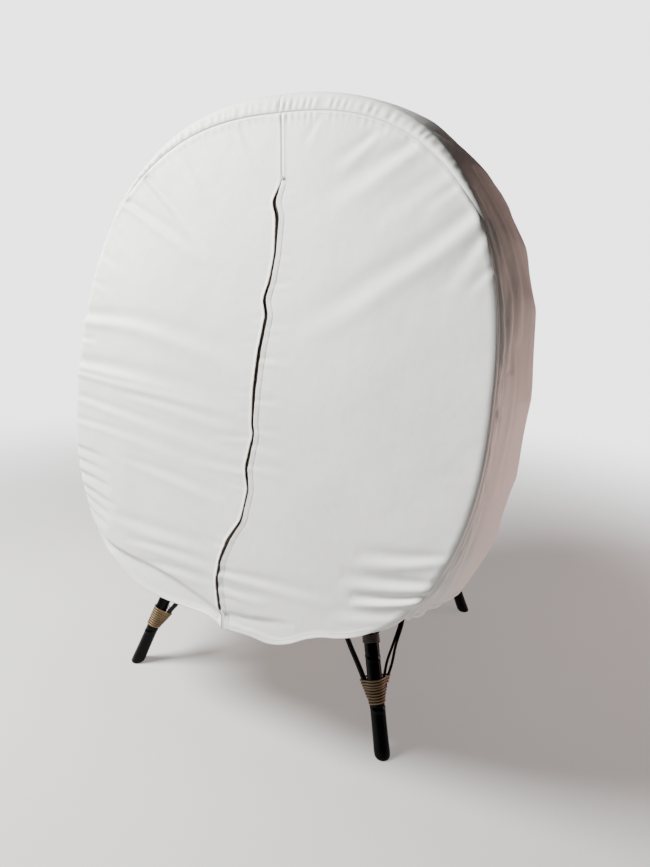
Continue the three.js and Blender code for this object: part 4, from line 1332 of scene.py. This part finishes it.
# The CAD's angle round the outline, in degrees.
STRINGERS = {"ridge": 0, "upper_right": 38, "side_right": 80, "lower_right": 119,
             "upper_left": -38, "side_left": -80, "lower_left": -119}


def stringer_path(angle):
    at = 0.075 + 0.87 * np.linspace(0, 1, 9)
    shape = section(at)
    power = shape["power"] if abs(angle) < 90 else shape["low_power"]
    across, rise = rim(shape, np.sign(angle) * turn_of(abs(angle), power) if angle else 0 * at, 0.020)
    return lift(shape, across, rise)


def make_pod_frame():
    front, middle, back = (section(at) for at in (0.0, 0.42, 1.0))
    make_hoop("hoop_front", front, 0.028, 0.040, -0.028, 0.0146, 201)
    make_hoop("hoop_back", back, 0.024, 0.0, 0.009, 0.0126, 202)
    turn = turn_of(143, middle["low_power"])
    across, rise = rim(middle, np.linspace(-turn, turn, 60), 0.044)
    add_pole("arch_middle", lift(middle, across, rise), 0.0126, 203, gaps=(0.20, 0.30))
    for i, (label, angle) in enumerate(STRINGERS.items()):
        add_pole(f"stringer_{label}", stringer_path(angle), STRINGER_RADIUS, 210 + i, gaps=(0.16, 0.24))
    make_bows(back)
    make_pod_bindings()


def make_bows(back):
    end = 0.935
    bows = {"vertical": (0, back["up"], 0.018), "horizontal": (back["wide"], 0, 0.033)}
    for i, (label, (across, up, inside)) in enumerate(bows.items()):
        reach = np.linspace(-end, end, 13)
        forward = -np.maximum(0.014, dome_depth(reach) - inside)
        add_pole(f"bow_{label}", lift(back, across * reach, up * reach, forward), 0.0068, 220 + i,
                 material="cane", sides=14)


def coil_round(shape, path, radius, middle, turns, width, thick, seed):
    """Winds a strip round a pole, centred on a place along it."""
    along = steps_along(path)
    length = turns * width * 1.02
    share = np.linspace(0, 1, turns * 26 + 1)
    places = middle - length / 2 + length * share
    centres = at_lengths(path, np.clip(places, 0, along[-1]))
    ups_on_path = travelling_ups(path)
    ups = unit(at_lengths(np.hstack([path, ups_on_path]), np.clip(places, 0, along[-1]))[:, 3:])
    tangents = unit(np.gradient(centres, axis=0))
    sides = np.cross(tangents, ups)
    angle = share * turns * 2 * math.pi + seed
    out = ups * np.cos(angle)[:, None] + sides * np.sin(angle)[:, None]
    half = width / 2
    outline = [(-half, 0), (half, 0), (half * 0.8, thick * 0.7), (0, thick), (-half * 0.8, thick * 0.7)]
    sweep(shape, centres + out * radius, outline, ups=out)


def make_pod_bindings():
    """Split-cane wraps where the long stringers meet the hoops and the arch."""
    shape = Shape()
    for i, angle in enumerate(STRINGERS.values()):
        path = spline(stringer_path(angle), 0.01)
        length = steps_along(path)[-1]
        for share in (0.045, 0.37, 0.44, 0.955):
            coil_round(shape, path, STRINGER_RADIUS, length * share, 4, 0.0045, 0.0014, i)
    return shape.piece("pod_bindings", "dark_binding", "frame")


# ---- floor, bench and cushion ----
def rounded_outline(width, height, corner, per_corner=4):
    points = []
    for quarter in range(4):
        cx = (width / 2 - corner) * (1 if quarter in (0, 3) else -1)
        cy = (height / 2 - corner) * (1 if quarter in (0, 1) else -1)
        for i in range(per_corner + 1):
            angle = (quarter + i / per_corner) * math.pi / 2
            points.append((cx + corner * math.cos(angle), cy + corner * math.sin(angle)))
    return np.array(points)


def make_board(name, seed):
    """A planed board with eased edges, a little uneven along its length."""
    rng = np.random.default_rng(seed)
    low, _, size, middle = box_of(name)
    axis = 0 if size[0] > size[1] else 1
    length, width = size[axis], size[1 - axis]
    ends = np.array([0, 0.0005, 0.0014, 0.003])
    inner = np.linspace(0.012, length - 0.012, 26)
    places = np.concatenate([ends, inner, length - ends[::-1]])
    eased = [0.0024, 0.0013, 0.0004, 0]
    inset = np.concatenate([eased, np.zeros(len(inner)), eased[::-1]])
    path = np.tile(middle, (len(places), 1))
    path[:, axis] = low[axis] + places
    outlines = []
    for place, trim in zip(places, inset):
        wave = 0.0006 * soft_noise(place * 9 + seed, 0, seed)
        outlines.append(rounded_outline(width - 2 * trim - abs(wave), size[2] - 2 * trim, 0.0032))
    shape = Shape()
    sweep(shape, path, np.array(outlines), UP)
    shape.flat[0] = shape.flat[0] + seed * 0.37
    made = shape.piece(name, "slat_wood", "frame", (name,))
    shade = rng.uniform(0, 1)
    made.data.materials[0] = MATERIALS["slat_wood" if shade < 0.6 else "slat_wood_dark"]
    return made


def make_screws():
    """Pan-head screws that hold the floor boards to their joists."""
    shape = Shape()
    profile = [(0.0047, -0.0002), (0.0047, 0.0004), (0.0043, 0.0010), (0.0032, 0.0014), (0.0014, 0.0015),
               (0.0012, 0.0010), (0.0, 0.0010)]
    for i in range(FLOOR_SLATS):
        low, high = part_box(f"floor_slat_{i + 1}")
        joist_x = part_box("floor_joist_right")[0][0] + 0.013
        for x in (-joist_x, joist_x):
            for share in (0.28, 0.72):
                y = low[1] + (high[1] - low[1]) * share
                if high[1] < LAST_SCREWED:
                    lathe(shape, profile, (x, y, high[2]), 16)
    return shape.piece("deck_screws", "steel", "frame")


def simulate_pressure(piece, cap, base_z):
    """Blows a remeshed pad up a little with Cloth, keeps the result, and limits how far it moved."""
    before = np.empty(len(piece.data.vertices) * 3)
    piece.data.vertices.foreach_get("co", before)
    cloth = piece.modifiers.new("cloth", "CLOTH")
    cloth.settings.use_pressure = True
    cloth.settings.uniform_pressure_force = 4.0
    cloth.settings.quality = 6
    cloth.settings.mass = 0.3
    cloth.settings.effector_weights.gravity = 0.0
    cloth.point_cache.frame_start, cloth.point_cache.frame_end = 1, CLOTH_FRAMES
    for number in range(1, CLOTH_FRAMES + 1):
        bpy.context.scene.frame_set(number)
    graph = bpy.context.evaluated_depsgraph_get()
    after = np.empty_like(before)
    piece.evaluated_get(graph).data.vertices.foreach_get("co", after)
    piece.modifiers.remove(cloth)
    bpy.context.scene.frame_set(1)
    before, after = before.reshape(-1, 3), after.reshape(-1, 3)
    move = after - before
    distance = np.linalg.norm(move, axis=1, keepdims=True)
    after = before + move * np.minimum(1, cap / np.maximum(distance, 1e-9))
    after[:, 2] = np.maximum(after[:, 2], base_z)
    piece.data.vertices.foreach_set("co", after.ravel())
    piece.data.update()


def keep_modified(piece):
    graph = bpy.context.evaluated_depsgraph_get()
    piece.data = bpy.data.meshes.new_from_object(piece.evaluated_get(graph))
    piece.modifiers.clear()


def make_cushion():
    low, high, size, middle = box_of("seat_cushion")
    shrink = 0.007
    shape = Shape()
    rows = []
    for share, pull in ((0, 0.016), (0.10, 0.006), (0.5, 0.004), (0.90, 0.006), (1.0, 0.016)):
        loop = rounded_outline(size[0] - 2 * (shrink + pull), size[1] - 2 * (shrink + pull), 0.040, 8)
        z = low[2] + 0.0008 + share * (size[2] - 0.0125)
        rows.append(np.column_stack([loop + middle[:2], np.full(len(loop), z)]))
    rows = np.array(rows)
    shape.add(rows, ring_faces(*rows.shape[:2]))
    pad = shape.piece("seat_cushion", "cushion_cloth", None)
    remesh = pad.modifiers.new("remesh", "REMESH")
    remesh.mode = "VOXEL"
    remesh.voxel_size = 0.0058
    keep_modified(pad)
    simulate_pressure(pad, 0.011, low[2] + 0.0006)
    smooth = pad.modifiers.new("smooth", "SMOOTH")
    smooth.iterations = 3
    keep_modified(pad)
    press_seams(pad, low, high, middle, size)
    finer = pad.modifiers.new("finer", "SUBSURF")
    finer.levels = finer.render_levels = 1
    keep_modified(pad)
    pad.data.materials.clear()
    pad.data.materials.append(MATERIALS["cushion_cloth"])
    pad.data.polygons.foreach_set("use_smooth", [True] * len(pad.data.polygons))
    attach(pad, "frame")
    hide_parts("seat_cushion")
    make_piping(pad, low, high, middle, size)


def press_seams(pad, low, high, middle, size):
    """Two sewn channels across the cushion, and soft dimples of wear between them."""
    points = np.empty(len(pad.data.vertices) * 3)
    pad.data.vertices.foreach_get("co", points)
    points = points.reshape(-1, 3)
    on_top = smooth_step(points[:, 2], middle[2], high[2] - 0.012)
    for x in (-size[0] / 6, size[0] / 6):
        points[:, 2] -= on_top * 0.0055 * bump(points[:, 0] - x, 0.0085)
    points[:, 2] += on_top * 0.0012 * soft_noise(points[:, 0] * 17, points[:, 1] * 17, 51)
    points = np.clip(points, low, high + [0, 0, 0.002])
    pad.data.vertices.foreach_set("co", points.ravel())
    pad.data.update()


def make_piping(pad, low, high, middle, size):
    shape = Shape()
    for z in (low[2] + 0.0065, high[2] - 0.0105):
        loop = rounded_outline(size[0] - 0.006, size[1] - 0.006, 0.042, 10)
        loop = np.vstack([loop, loop[:1]])
        loop = at_lengths(loop, np.linspace(0, steps_along(loop)[-1], 261)[:-1])
        points = []
        for x, y in loop:
            start = Vector((middle[0] + x * 1.1, middle[1] + y * 1.1, z))
            aim = Vector((middle[0] - start.x, middle[1] - start.y, 0)).normalized()
            hit, spot, normal, _ = pad.ray_cast(start, aim)
            on_pad = spot + normal * 0.0012 if hit else (middle[0] + x, middle[1] + y, z)
            points.append(np.array(on_pad))
        points = np.clip(np.array(points), low + 0.0022, high)
        tube(shape, points, 0.0021, 10, closed=True, up=UP)
    return shape.piece("cushion_piping", "cushion_piping", "frame")


# ---- steam pot ----
def bevelled(node, width, material):
    """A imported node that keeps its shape, with its edges eased."""
    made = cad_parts[node]
    made.data.materials.clear()
    made.data.materials.append(MATERIALS[material])
    bevel = made.modifiers.new("eased", "BEVEL")
    bevel.width = width
    bevel.segments = 3
    bevel.limit_method = "ANGLE"
    bevel.angle_limit = math.radians(35)
    return made


def make_steamer_base():
    low, _, size, middle = box_of("steamer_base")
    rows = [(0.0, 0.0045), (0.0007, 0.0024), (0.0022, 0.0009), (0.0050, 0.0), (0.0160, 0.0), (0.0168, 0.0011),
            (0.0178, 0.0011), (0.0186, 0.0), (size[2] - 0.0090, 0.0), (size[2] - 0.0050, 0.0008),
            (size[2] - 0.0022, 0.0028), (size[2] - 0.0006, 0.0062), (size[2], 0.0105), (size[2], 0.030)]
    loops = []
    for z, inset in rows:
        loop = rounded_outline(size[0] - 2 * inset, size[1] - 2 * inset, max(0.030 - inset, 0.004), 10)
        loops.append(np.column_stack([loop + middle[:2], np.full(len(loop), low[2] + z)]))
    loops = np.array(loops)
    shape = Shape()
    shape.add(loops, ring_faces(*loops.shape[:2]))
    return shape.piece("steamer_base", "appliance_white", "frame", ("steamer_base",))


def make_dial():
    """The dial with its grip lines and pointer, and the tick marks round it."""
    _, high, size, (x, _, z) = box_of("steamer_dial")
    face_y, radius, deep = high[1], size[0] / 2, size[1]
    dial = Shape()
    rows = [(radius * 0.72, 0.0), (radius * 0.99, 0.0004), (radius, 0.0016), (radius * 0.97, deep * 0.82),
            (radius * 0.92, deep * 0.95), (radius * 0.84, deep), (radius * 0.5, deep), (0.0, deep)]
    lathe(dial, rows, (x, face_y, z), 48, axis=(0, -1, 0))
    for i in range(30):
        angle = (i + 0.5) / 30 * 2 * math.pi
        out = np.array([math.cos(angle), 0, math.sin(angle)])
        ends = [np.array([x, face_y - 0.0022, z]) + out * radius * 0.985,
                np.array([x, face_y - deep * 0.84, z]) + out * radius * 0.955]
        tube(dial, ends, 0.0008, 8)
    dial.piece("steamer_dial", "dark_plastic", "dial", ("steamer_dial",))
    pointer = Shape()
    tube(pointer, [(x, face_y - deep, z + radius * 0.30), (x, face_y - deep, z + radius * 0.80)], 0.0009, 8)
    pointer.piece("dial_pointer", "appliance_white", "dial")
    ticks = Shape()
    centre = np.array([x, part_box("steamer_base")[0][1] - 0.0001, z])
    for i in range(10):
        angle = math.radians(90 - i * 30)
        out = np.array([math.cos(angle), 0, math.sin(angle)])
        tube(ticks, [centre + out * (radius + 0.0030), centre + out * (radius + 0.0060)], 0.0006, 8)
    ticks.piece("dial_ticks", "dark_plastic", "frame")


def make_button():
    _, high, size, (x, _, z) = box_of("steamer_button")
    radius, deep = size[0] / 2, size[1]
    button = Shape()
    cap = [(radius * 0.96, 0), (radius, 0.0008), (radius, deep - 0.0016), (radius * 0.93, deep - 0.0005),
           (radius * 0.82, deep), (radius * 0.5, deep - 0.0006), (0, deep - 0.0008)]
    lathe(button, cap, (x, high[1], z), 40, axis=(0, -1, 0))
    button.piece("steamer_button", "dark_plastic", "power_button", ("steamer_button",))
    bezel = Shape()
    ring = [(radius + 0.0006, 0.0010), (radius + 0.0006, -0.0010), (radius + 0.0012, -0.0016),
            (radius + 0.0028, -0.0016), (radius + 0.0036, -0.0006), (radius + 0.0036, 0.0010)]
    lathe(bezel, ring, (x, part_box("steamer_base")[0][1], z), 40, axis=(0, 1, 0))
    bezel.piece("button_bezel", "steel", "frame")


def make_pot():
    low, _, size, middle = box_of("steamer_pot")
    radius, tall, wall = size[0] / 2, size[2], 0.003
    shape = Shape()
    rolled = [(radius - 0.0004 + 0.0012 * math.sin(t), tall - 0.0016 + 0.0014 * math.cos(t))
              for t in np.linspace(math.pi * 0.9, -math.pi * 0.4, 8)]
    outside = [(0.0, 0.0), (radius - 0.010, 0.0), (radius - 0.005, 0.0012), (radius - 0.0016, 0.0045),
               (radius - 0.0006, 0.009), (radius - 0.0006, 0.030), (radius - 0.0012, 0.0315),
               (radius - 0.0006, 0.033), (radius - 0.0006, tall - 0.006)]
    inside = [(radius - wall, tall - 0.004), (radius - wall, wall + 0.010),
              (radius - wall - 0.006, wall + 0.002), (radius - 0.020, wall), (0.0, wall)]
    lathe(shape, outside + rolled + inside, (middle[0], middle[1], low[2]), 72)
    shape.piece("steamer_pot", "steel", "frame", ("steamer_pot",))
    low, _, size, middle = box_of("lid_knob")
    knob = Shape()
    tall = size[2]
    profile = [(0.0, 0.0), (0.0105, 0.0), (0.0105, 0.0012), (0.0088, 0.0022), (0.0080, 0.0060),
               (0.0094, 0.0092), (0.0140, 0.0118), (0.0159, 0.0148), (0.0160, 0.0178), (0.0146, 0.0208),
               (0.0110, tall - 0.0012), (0.0060, tall - 0.0002), (0.0, tall)]
    lathe(knob, profile, (middle[0], middle[1], low[2]), 44)
    knob.piece("lid_knob", "dark_plastic", "steamer_lid", ("lid_knob",))
    bevelled("steamer_lid", 0.0011, "steel")


def make_inlet():
    bevelled("power_inlet", 0.0010, "dark_plastic")
    *_, middle = box_of("power_inlet")
    shape = Shape()
    for x, z in ((-0.0070, -0.0015), (0.0, 0.0030), (0.0070, -0.0015)):
        start = middle + [x, -0.0005, z]
        outline = rounded_outline(0.0020, 0.0042, 0.0006, 3)
        sweep(shape, [start, start + [0, 0.0028, 0], start + [0, 0.0034, 0]],
              np.array([outline, outline, outline * 0.6]), UP)
    return shape.piece("inlet_pins", "steel", "frame")


def make_interior():
    for i in range(FLOOR_SLATS):
        make_board(f"floor_slat_{i + 1}", 300 + i)
    for i in range(SEAT_SLATS):
        make_board(f"seat_slat_{i + 1}", 310 + i)
    for i, side in enumerate(SIDE_NAMES.values()):
        make_board(f"seat_end_{side}", 320 + i)
    make_screws()
    make_cushion()
    make_steamer_base()
    make_dial()
    make_button()
    make_pot()
    make_inlet()


# ---- zip, stitches and the doors ----
# The right door's fold line. The left door's is its mirror.
FOLD_TOP = np.array([0.0, -0.3211, 1.3999])
FOLD_FOOT = np.array([0.445, -0.4917, 0.4323])


def bend_across_fold(piece, side):
    """Bakes the piece's place into its mesh. The door's fold line is worked out but not used, so the cloth
    does not bend.
    """
    flip = np.array([side, 1, 1])
    top, foot = FOLD_TOP * flip, FOLD_FOOT * flip
    line = unit(foot - top)
    across = np.cross(line, FORWARD)
    across *= np.sign(-across[0] * side)
    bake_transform(piece)


def behind_panel(panel, side, s):
    """How far the cloth beside the slit stands out of the front face."""
    out = []
    for x, here in zip(slit_x(s) + side * 0.016, s):
        start = face_point(x, here, 0.05)
        hit, spot, _, _ = panel.ray_cast(Vector(start), Vector(-FORWARD))
        out.append((np.array(spot) - start) @ FORWARD + 0.05 if hit else 0.0)
    return np.convolve(np.pad(out, 3, mode="edge"), np.ones(7) / 7, mode="valid")


def make_zip_half(panel, side):
    """A woven tape behind one edge of the slit, with its row of coils.

    The slider runs straight while the slit wavers, so the left tape passes behind it where they cross.
    """
    s = np.arange(-0.610, SLIT_TOP - 0.012, 0.004)
    cloth = behind_panel(panel, side, s)
    edge = slit_x(s) + side * 0.0004
    tape = Shape()
    steps = np.array([0.0, 0.002, 0.006, 0.0100, 0.0145])
    wave = 0.0004 * soft_noise(s * 30, 0, 61 + side)
    *_, runner = box_of("zip_slider")
    behind_runner = (runner - face_point(edge, s)) @ FORWARD - SLIDER_BACK - SLIDER_ROOM
    rows = []
    for step in steps:
        x = edge + side * step
        depth = cloth - 0.0046 + wave
        if side == LEFT:
            near = 1 - smooth_step(np.abs(x - runner[0]), 0.0094, 0.0120)
            depth = depth + (np.minimum(depth, behind_runner) - depth) * near
        rows.append(face_point(x, s, depth))
    grid = np.stack(rows, 1)
    flat = np.stack(np.broadcast_arrays(steps[None, :], s[:, None]), -1)
    if side == RIGHT:
        grid, flat = grid[:, ::-1], flat[:, ::-1]
    thick_sheet(tape, grid, flat, 0.0007)
    made = [tape.piece(f"zip_tape_{SIDE_NAMES[side]}", "zip_tape", None)]
    coil = Shape()
    fine = np.arange(s[0], s[-1], 0.0007)
    ripple = 0.0011 + 0.00035 * np.sin(fine / 0.0028 * 2 * math.pi)
    path = face_point(slit_x(fine) + side * 0.0012, fine, np.interp(fine, s, cloth) - 0.0040)
    tube(coil, path, ripple, 7, up=FORWARD)
    made.append(coil.piece(f"zip_coil_{SIDE_NAMES[side]}", "zip_tape", None))
    return made


def make_slider():
    middle = box_of("zip_slider")[-1] - FORWARD * SLIDER_BACK
    half = 0.0105

    def local(s, forward):
        return middle + UPSLOPE * s + FORWARD * forward

    shape = Shape()
    body_s = np.array([0.0100, 0.0096, 0.0086, 0.0050, 0.0, -0.0030, -0.0038, -0.0041])
    wide = np.array([0.0040, 0.0062, 0.0078, 0.0086, 0.0072, 0.0060, 0.0052, 0.0036])
    outlines = np.array([rounded_outline(w, 0.0034 if 0.0036 < w else 0.002, 0.0009, 3) for w in wide])
    sweep(shape, [local(v, -0.0006) for v in body_s], outlines, FORWARD)
    bail = [local(0.0075, 0.0008), local(0.0066, 0.0020), local(0.0030, 0.0022), local(0.0004, 0.0018),
            local(-0.0006, 0.0008)]
    tube(shape, spline(bail, 0.0008), 0.0006, 8)
    tab_s = np.linspace(0.0025, -half, 14)
    tab_w = 0.0034 + 0.0016 * smooth_step(-tab_s, 0.0, 0.004) - 0.0034 * smooth_step(-tab_s, 0.0085, 0.0108)
    outlines = np.array([rounded_outline(w, 0.0011, 0.0005, 3) for w in tab_w])
    sweep(shape, [local(v, 0.0019) for v in tab_s], outlines, FORWARD)
    return shape.piece("zip_slider", "zip_metal", "zip_slider", ("zip_slider",))


def stitch_rows(shape, panel, curve, toward):
    """Lays short threads on a panel, under a curve of points."""
    length, gap, size = 0.0036, 0.0020, 0.00042
    along = steps_along(curve)
    spots = np.arange(gap, along[-1] - length, length + gap)
    starts, ends = at_lengths(curve, spots), at_lengths(curve, spots + length)
    sides = 5
    ring = circle(sides)
    shares, sizes = np.array([0.0, 0.22, 0.78, 1.0]), np.array([0.35, 1.0, 1.0, 0.35])
    lifted = np.array([0.0, 0.0005, 0.0005, 0.0])
    faces = ring_faces(4, sides)
    for first, last in zip(starts, ends):
        on_a, spot_a, normal, _ = panel.closest_point_on_mesh(Vector(first), distance=0.03)
        on_b, spot_b, _, _ = panel.closest_point_on_mesh(Vector(last), distance=0.03)
        if not (on_a and on_b):
            continue
        a, b = np.array(spot_a), np.array(spot_b)
        up = np.array(normal)
        up = up * (1 if np.dot(up, toward) > 0 else -1)
        run = unit(b - a)
        side = np.cross(run, up)
        centres = a + (b - a) * shares[:, None] + up * (lifted[:, None] - 0.0001)
        rings = centres[:, None] + size * sizes[:, None, None] * (
            ring[None, :, :1] * side + ring[None, :, 1:] * up)
        shape.add(rings, faces)


def make_front_stitches(panel, side):
    shape = Shape()
    turn = side * np.radians(np.linspace(0.4, 136, 420))
    inward = seam_inward(turn, side) + 0.0075
    stitch_rows(shape, panel, cover_point(turn, inward), FORWARD)
    s = np.linspace(SLIT_TOP - 0.01, -0.63, 240)
    x = slit_x(s) + side * (slit_gap(s) + 0.0128)
    stitch_rows(shape, panel, face_point(x, s), FORWARD)
    s = np.linspace(0.628, SLIT_TOP + 0.004, 40)
    stitch_rows(shape, panel, face_point(slit_x(s) + side * 0.0055, s), FORWARD)
    turn = side * np.radians(np.linspace(141, 179.4, 160))
    stitch_rows(shape, panel, cover_point(turn, seam_inward(turn, side) + 0.0115), FORWARD)
    return shape.piece(f"stitches_front_{SIDE_NAMES[side]}", "thread", None)


def make_side_stitches(panel, side):
    shape = Shape()
    turn = side * np.radians(np.linspace(0.5, 134, 400))
    outward = np.array([side * 0.7, -0.5, 0.3])
    stitch_rows(shape, panel, cover_point(turn, side_seam_inward(turn) - 0.0075), outward)
    rear = -depth_of(REAR_SEAM_AT) + 0.0085
    stitch_rows(shape, panel, cover_point(turn, 0 * turn + rear), outward)
    behind = np.linspace(0.02, -rear - 0.01, 120)
    turn = side * (hem_turn(station_at(behind)) - 0.0145 / ROUND_RADIUS)
    stitch_rows(shape, panel, cover_point(turn, -behind), np.array([side * 0.5, 0, -0.8]))
    behind = np.linspace(-0.04, -rear - 0.01, 120)
    stitch_rows(shape, panel, cover_point(side * 0.0125 + 0 * behind, -behind), np.array([0, 0, 1.0]))
    return shape.piece(f"stitches_side_{SIDE_NAMES[side]}", "thread", "frame")


def make_back_stitches(panel):
    shape = Shape()
    back = section(1.0)
    turn = np.radians(np.linspace(-142, 142, 520))
    across, rise = rim(back, turn)
    reach = 1 - 0.010 / np.hypot(across, rise)
    away = -FORWARD
    points = lift(back, across * reach, rise * reach, -dome_depth(reach))
    stitch_rows(shape, panel, points, away)
    reach = np.linspace(-0.96, 0.97, 260)
    for x in (-0.0085, 0.0085):
        rise = np.where(reach >= 0, back["up"], back["down"]) * reach
        stitch_rows(shape, panel, lift(back, x + 0 * reach, rise, -dome_depth(reach)), away)
    return shape.piece("stitches_back", "thread", "frame")


def make_bartack():
    """A dense bar of thread that stops the slit tearing upwards."""
    shape = Shape()
    half = 0.0052
    across = np.linspace(-half, half, 5)
    for i in range(9):
        x, s = slit_x(SLIT_TOP) + across, SLIT_TOP + 0.004 + (i - 4) * 0.0008
        tube(shape, face_point(x, s, 0.0005 + 0.0004 * np.cos(across / half)), 0.0005, 6)
    return shape.piece("bartack", "thread", "frame")


# ---- floor, outside the object ----
def floor_material():
    """A pale floor that fades into the pale backdrop a few metres out."""
    look = Shading("floor")
    spot = look.place("Object")
    colour = look.ramp(look.noise(spot, 2.0, 3), [(0.3, (0.46, 0.46, 0.457)), (0.7, (0.475, 0.475, 0.472))])
    material = look.finish(colour, None, Roughness=0.8, Specular_IOR_Level=0.1,
                           Emission_Color=(1.0, 0.94, 0.92, 1), Emission_Strength=0.32)
    length = look.node("ShaderNodeVectorMath", {0: spot}, operation="LENGTH")
    far = look.node("ShaderNodeMapRange", {"Value": length.outputs["Value"]},
                    {"From Min": 1.3, "From Max": 4.3}, interpolation_type="SMOOTHSTEP")
    clear = look.node("ShaderNodeBsdfTransparent")
    links = {0: far.outputs["Result"], 1: look.surface.outputs[0], 2: clear.outputs[0]}
    mix = look.node("ShaderNodeMixShader", links)
    output = look.tree.nodes["Material Output"]
    look.tree.links.new(mix.outputs[0], output.inputs["Surface"])
    return material


def make_floor():
    half = 14.0
    mesh = bpy.data.meshes.new("floor")
    corners = [(-half, -half, 0), (half, -half, 0), (half, half, 0), (-half, half, 0)]
    mesh.from_pydata(corners, [], [(0, 1, 2, 3)])
    mesh.materials.append(floor_material())
    floor = bpy.data.objects.new("floor", mesh)
    bpy.context.scene.collection.objects.link(floor)


# ---- the build ----
make_base()
make_pod_frame()
make_interior()
for side in (RIGHT, LEFT):
    panel = make_side_panel(side)
    stitches = make_side_stitches(panel, side)
panel = make_back_panel()
stitches = make_back_stitches(panel)
make_slider()
make_bartack()

for side in (RIGHT, LEFT):
    panel = make_front_panel(side)
    stitches = make_front_stitches(panel, side)
    extras = [stitches] + make_zip_half(panel, side)
    for piece in [panel] + extras:
        bend_across_fold(piece, side)

make_floor()
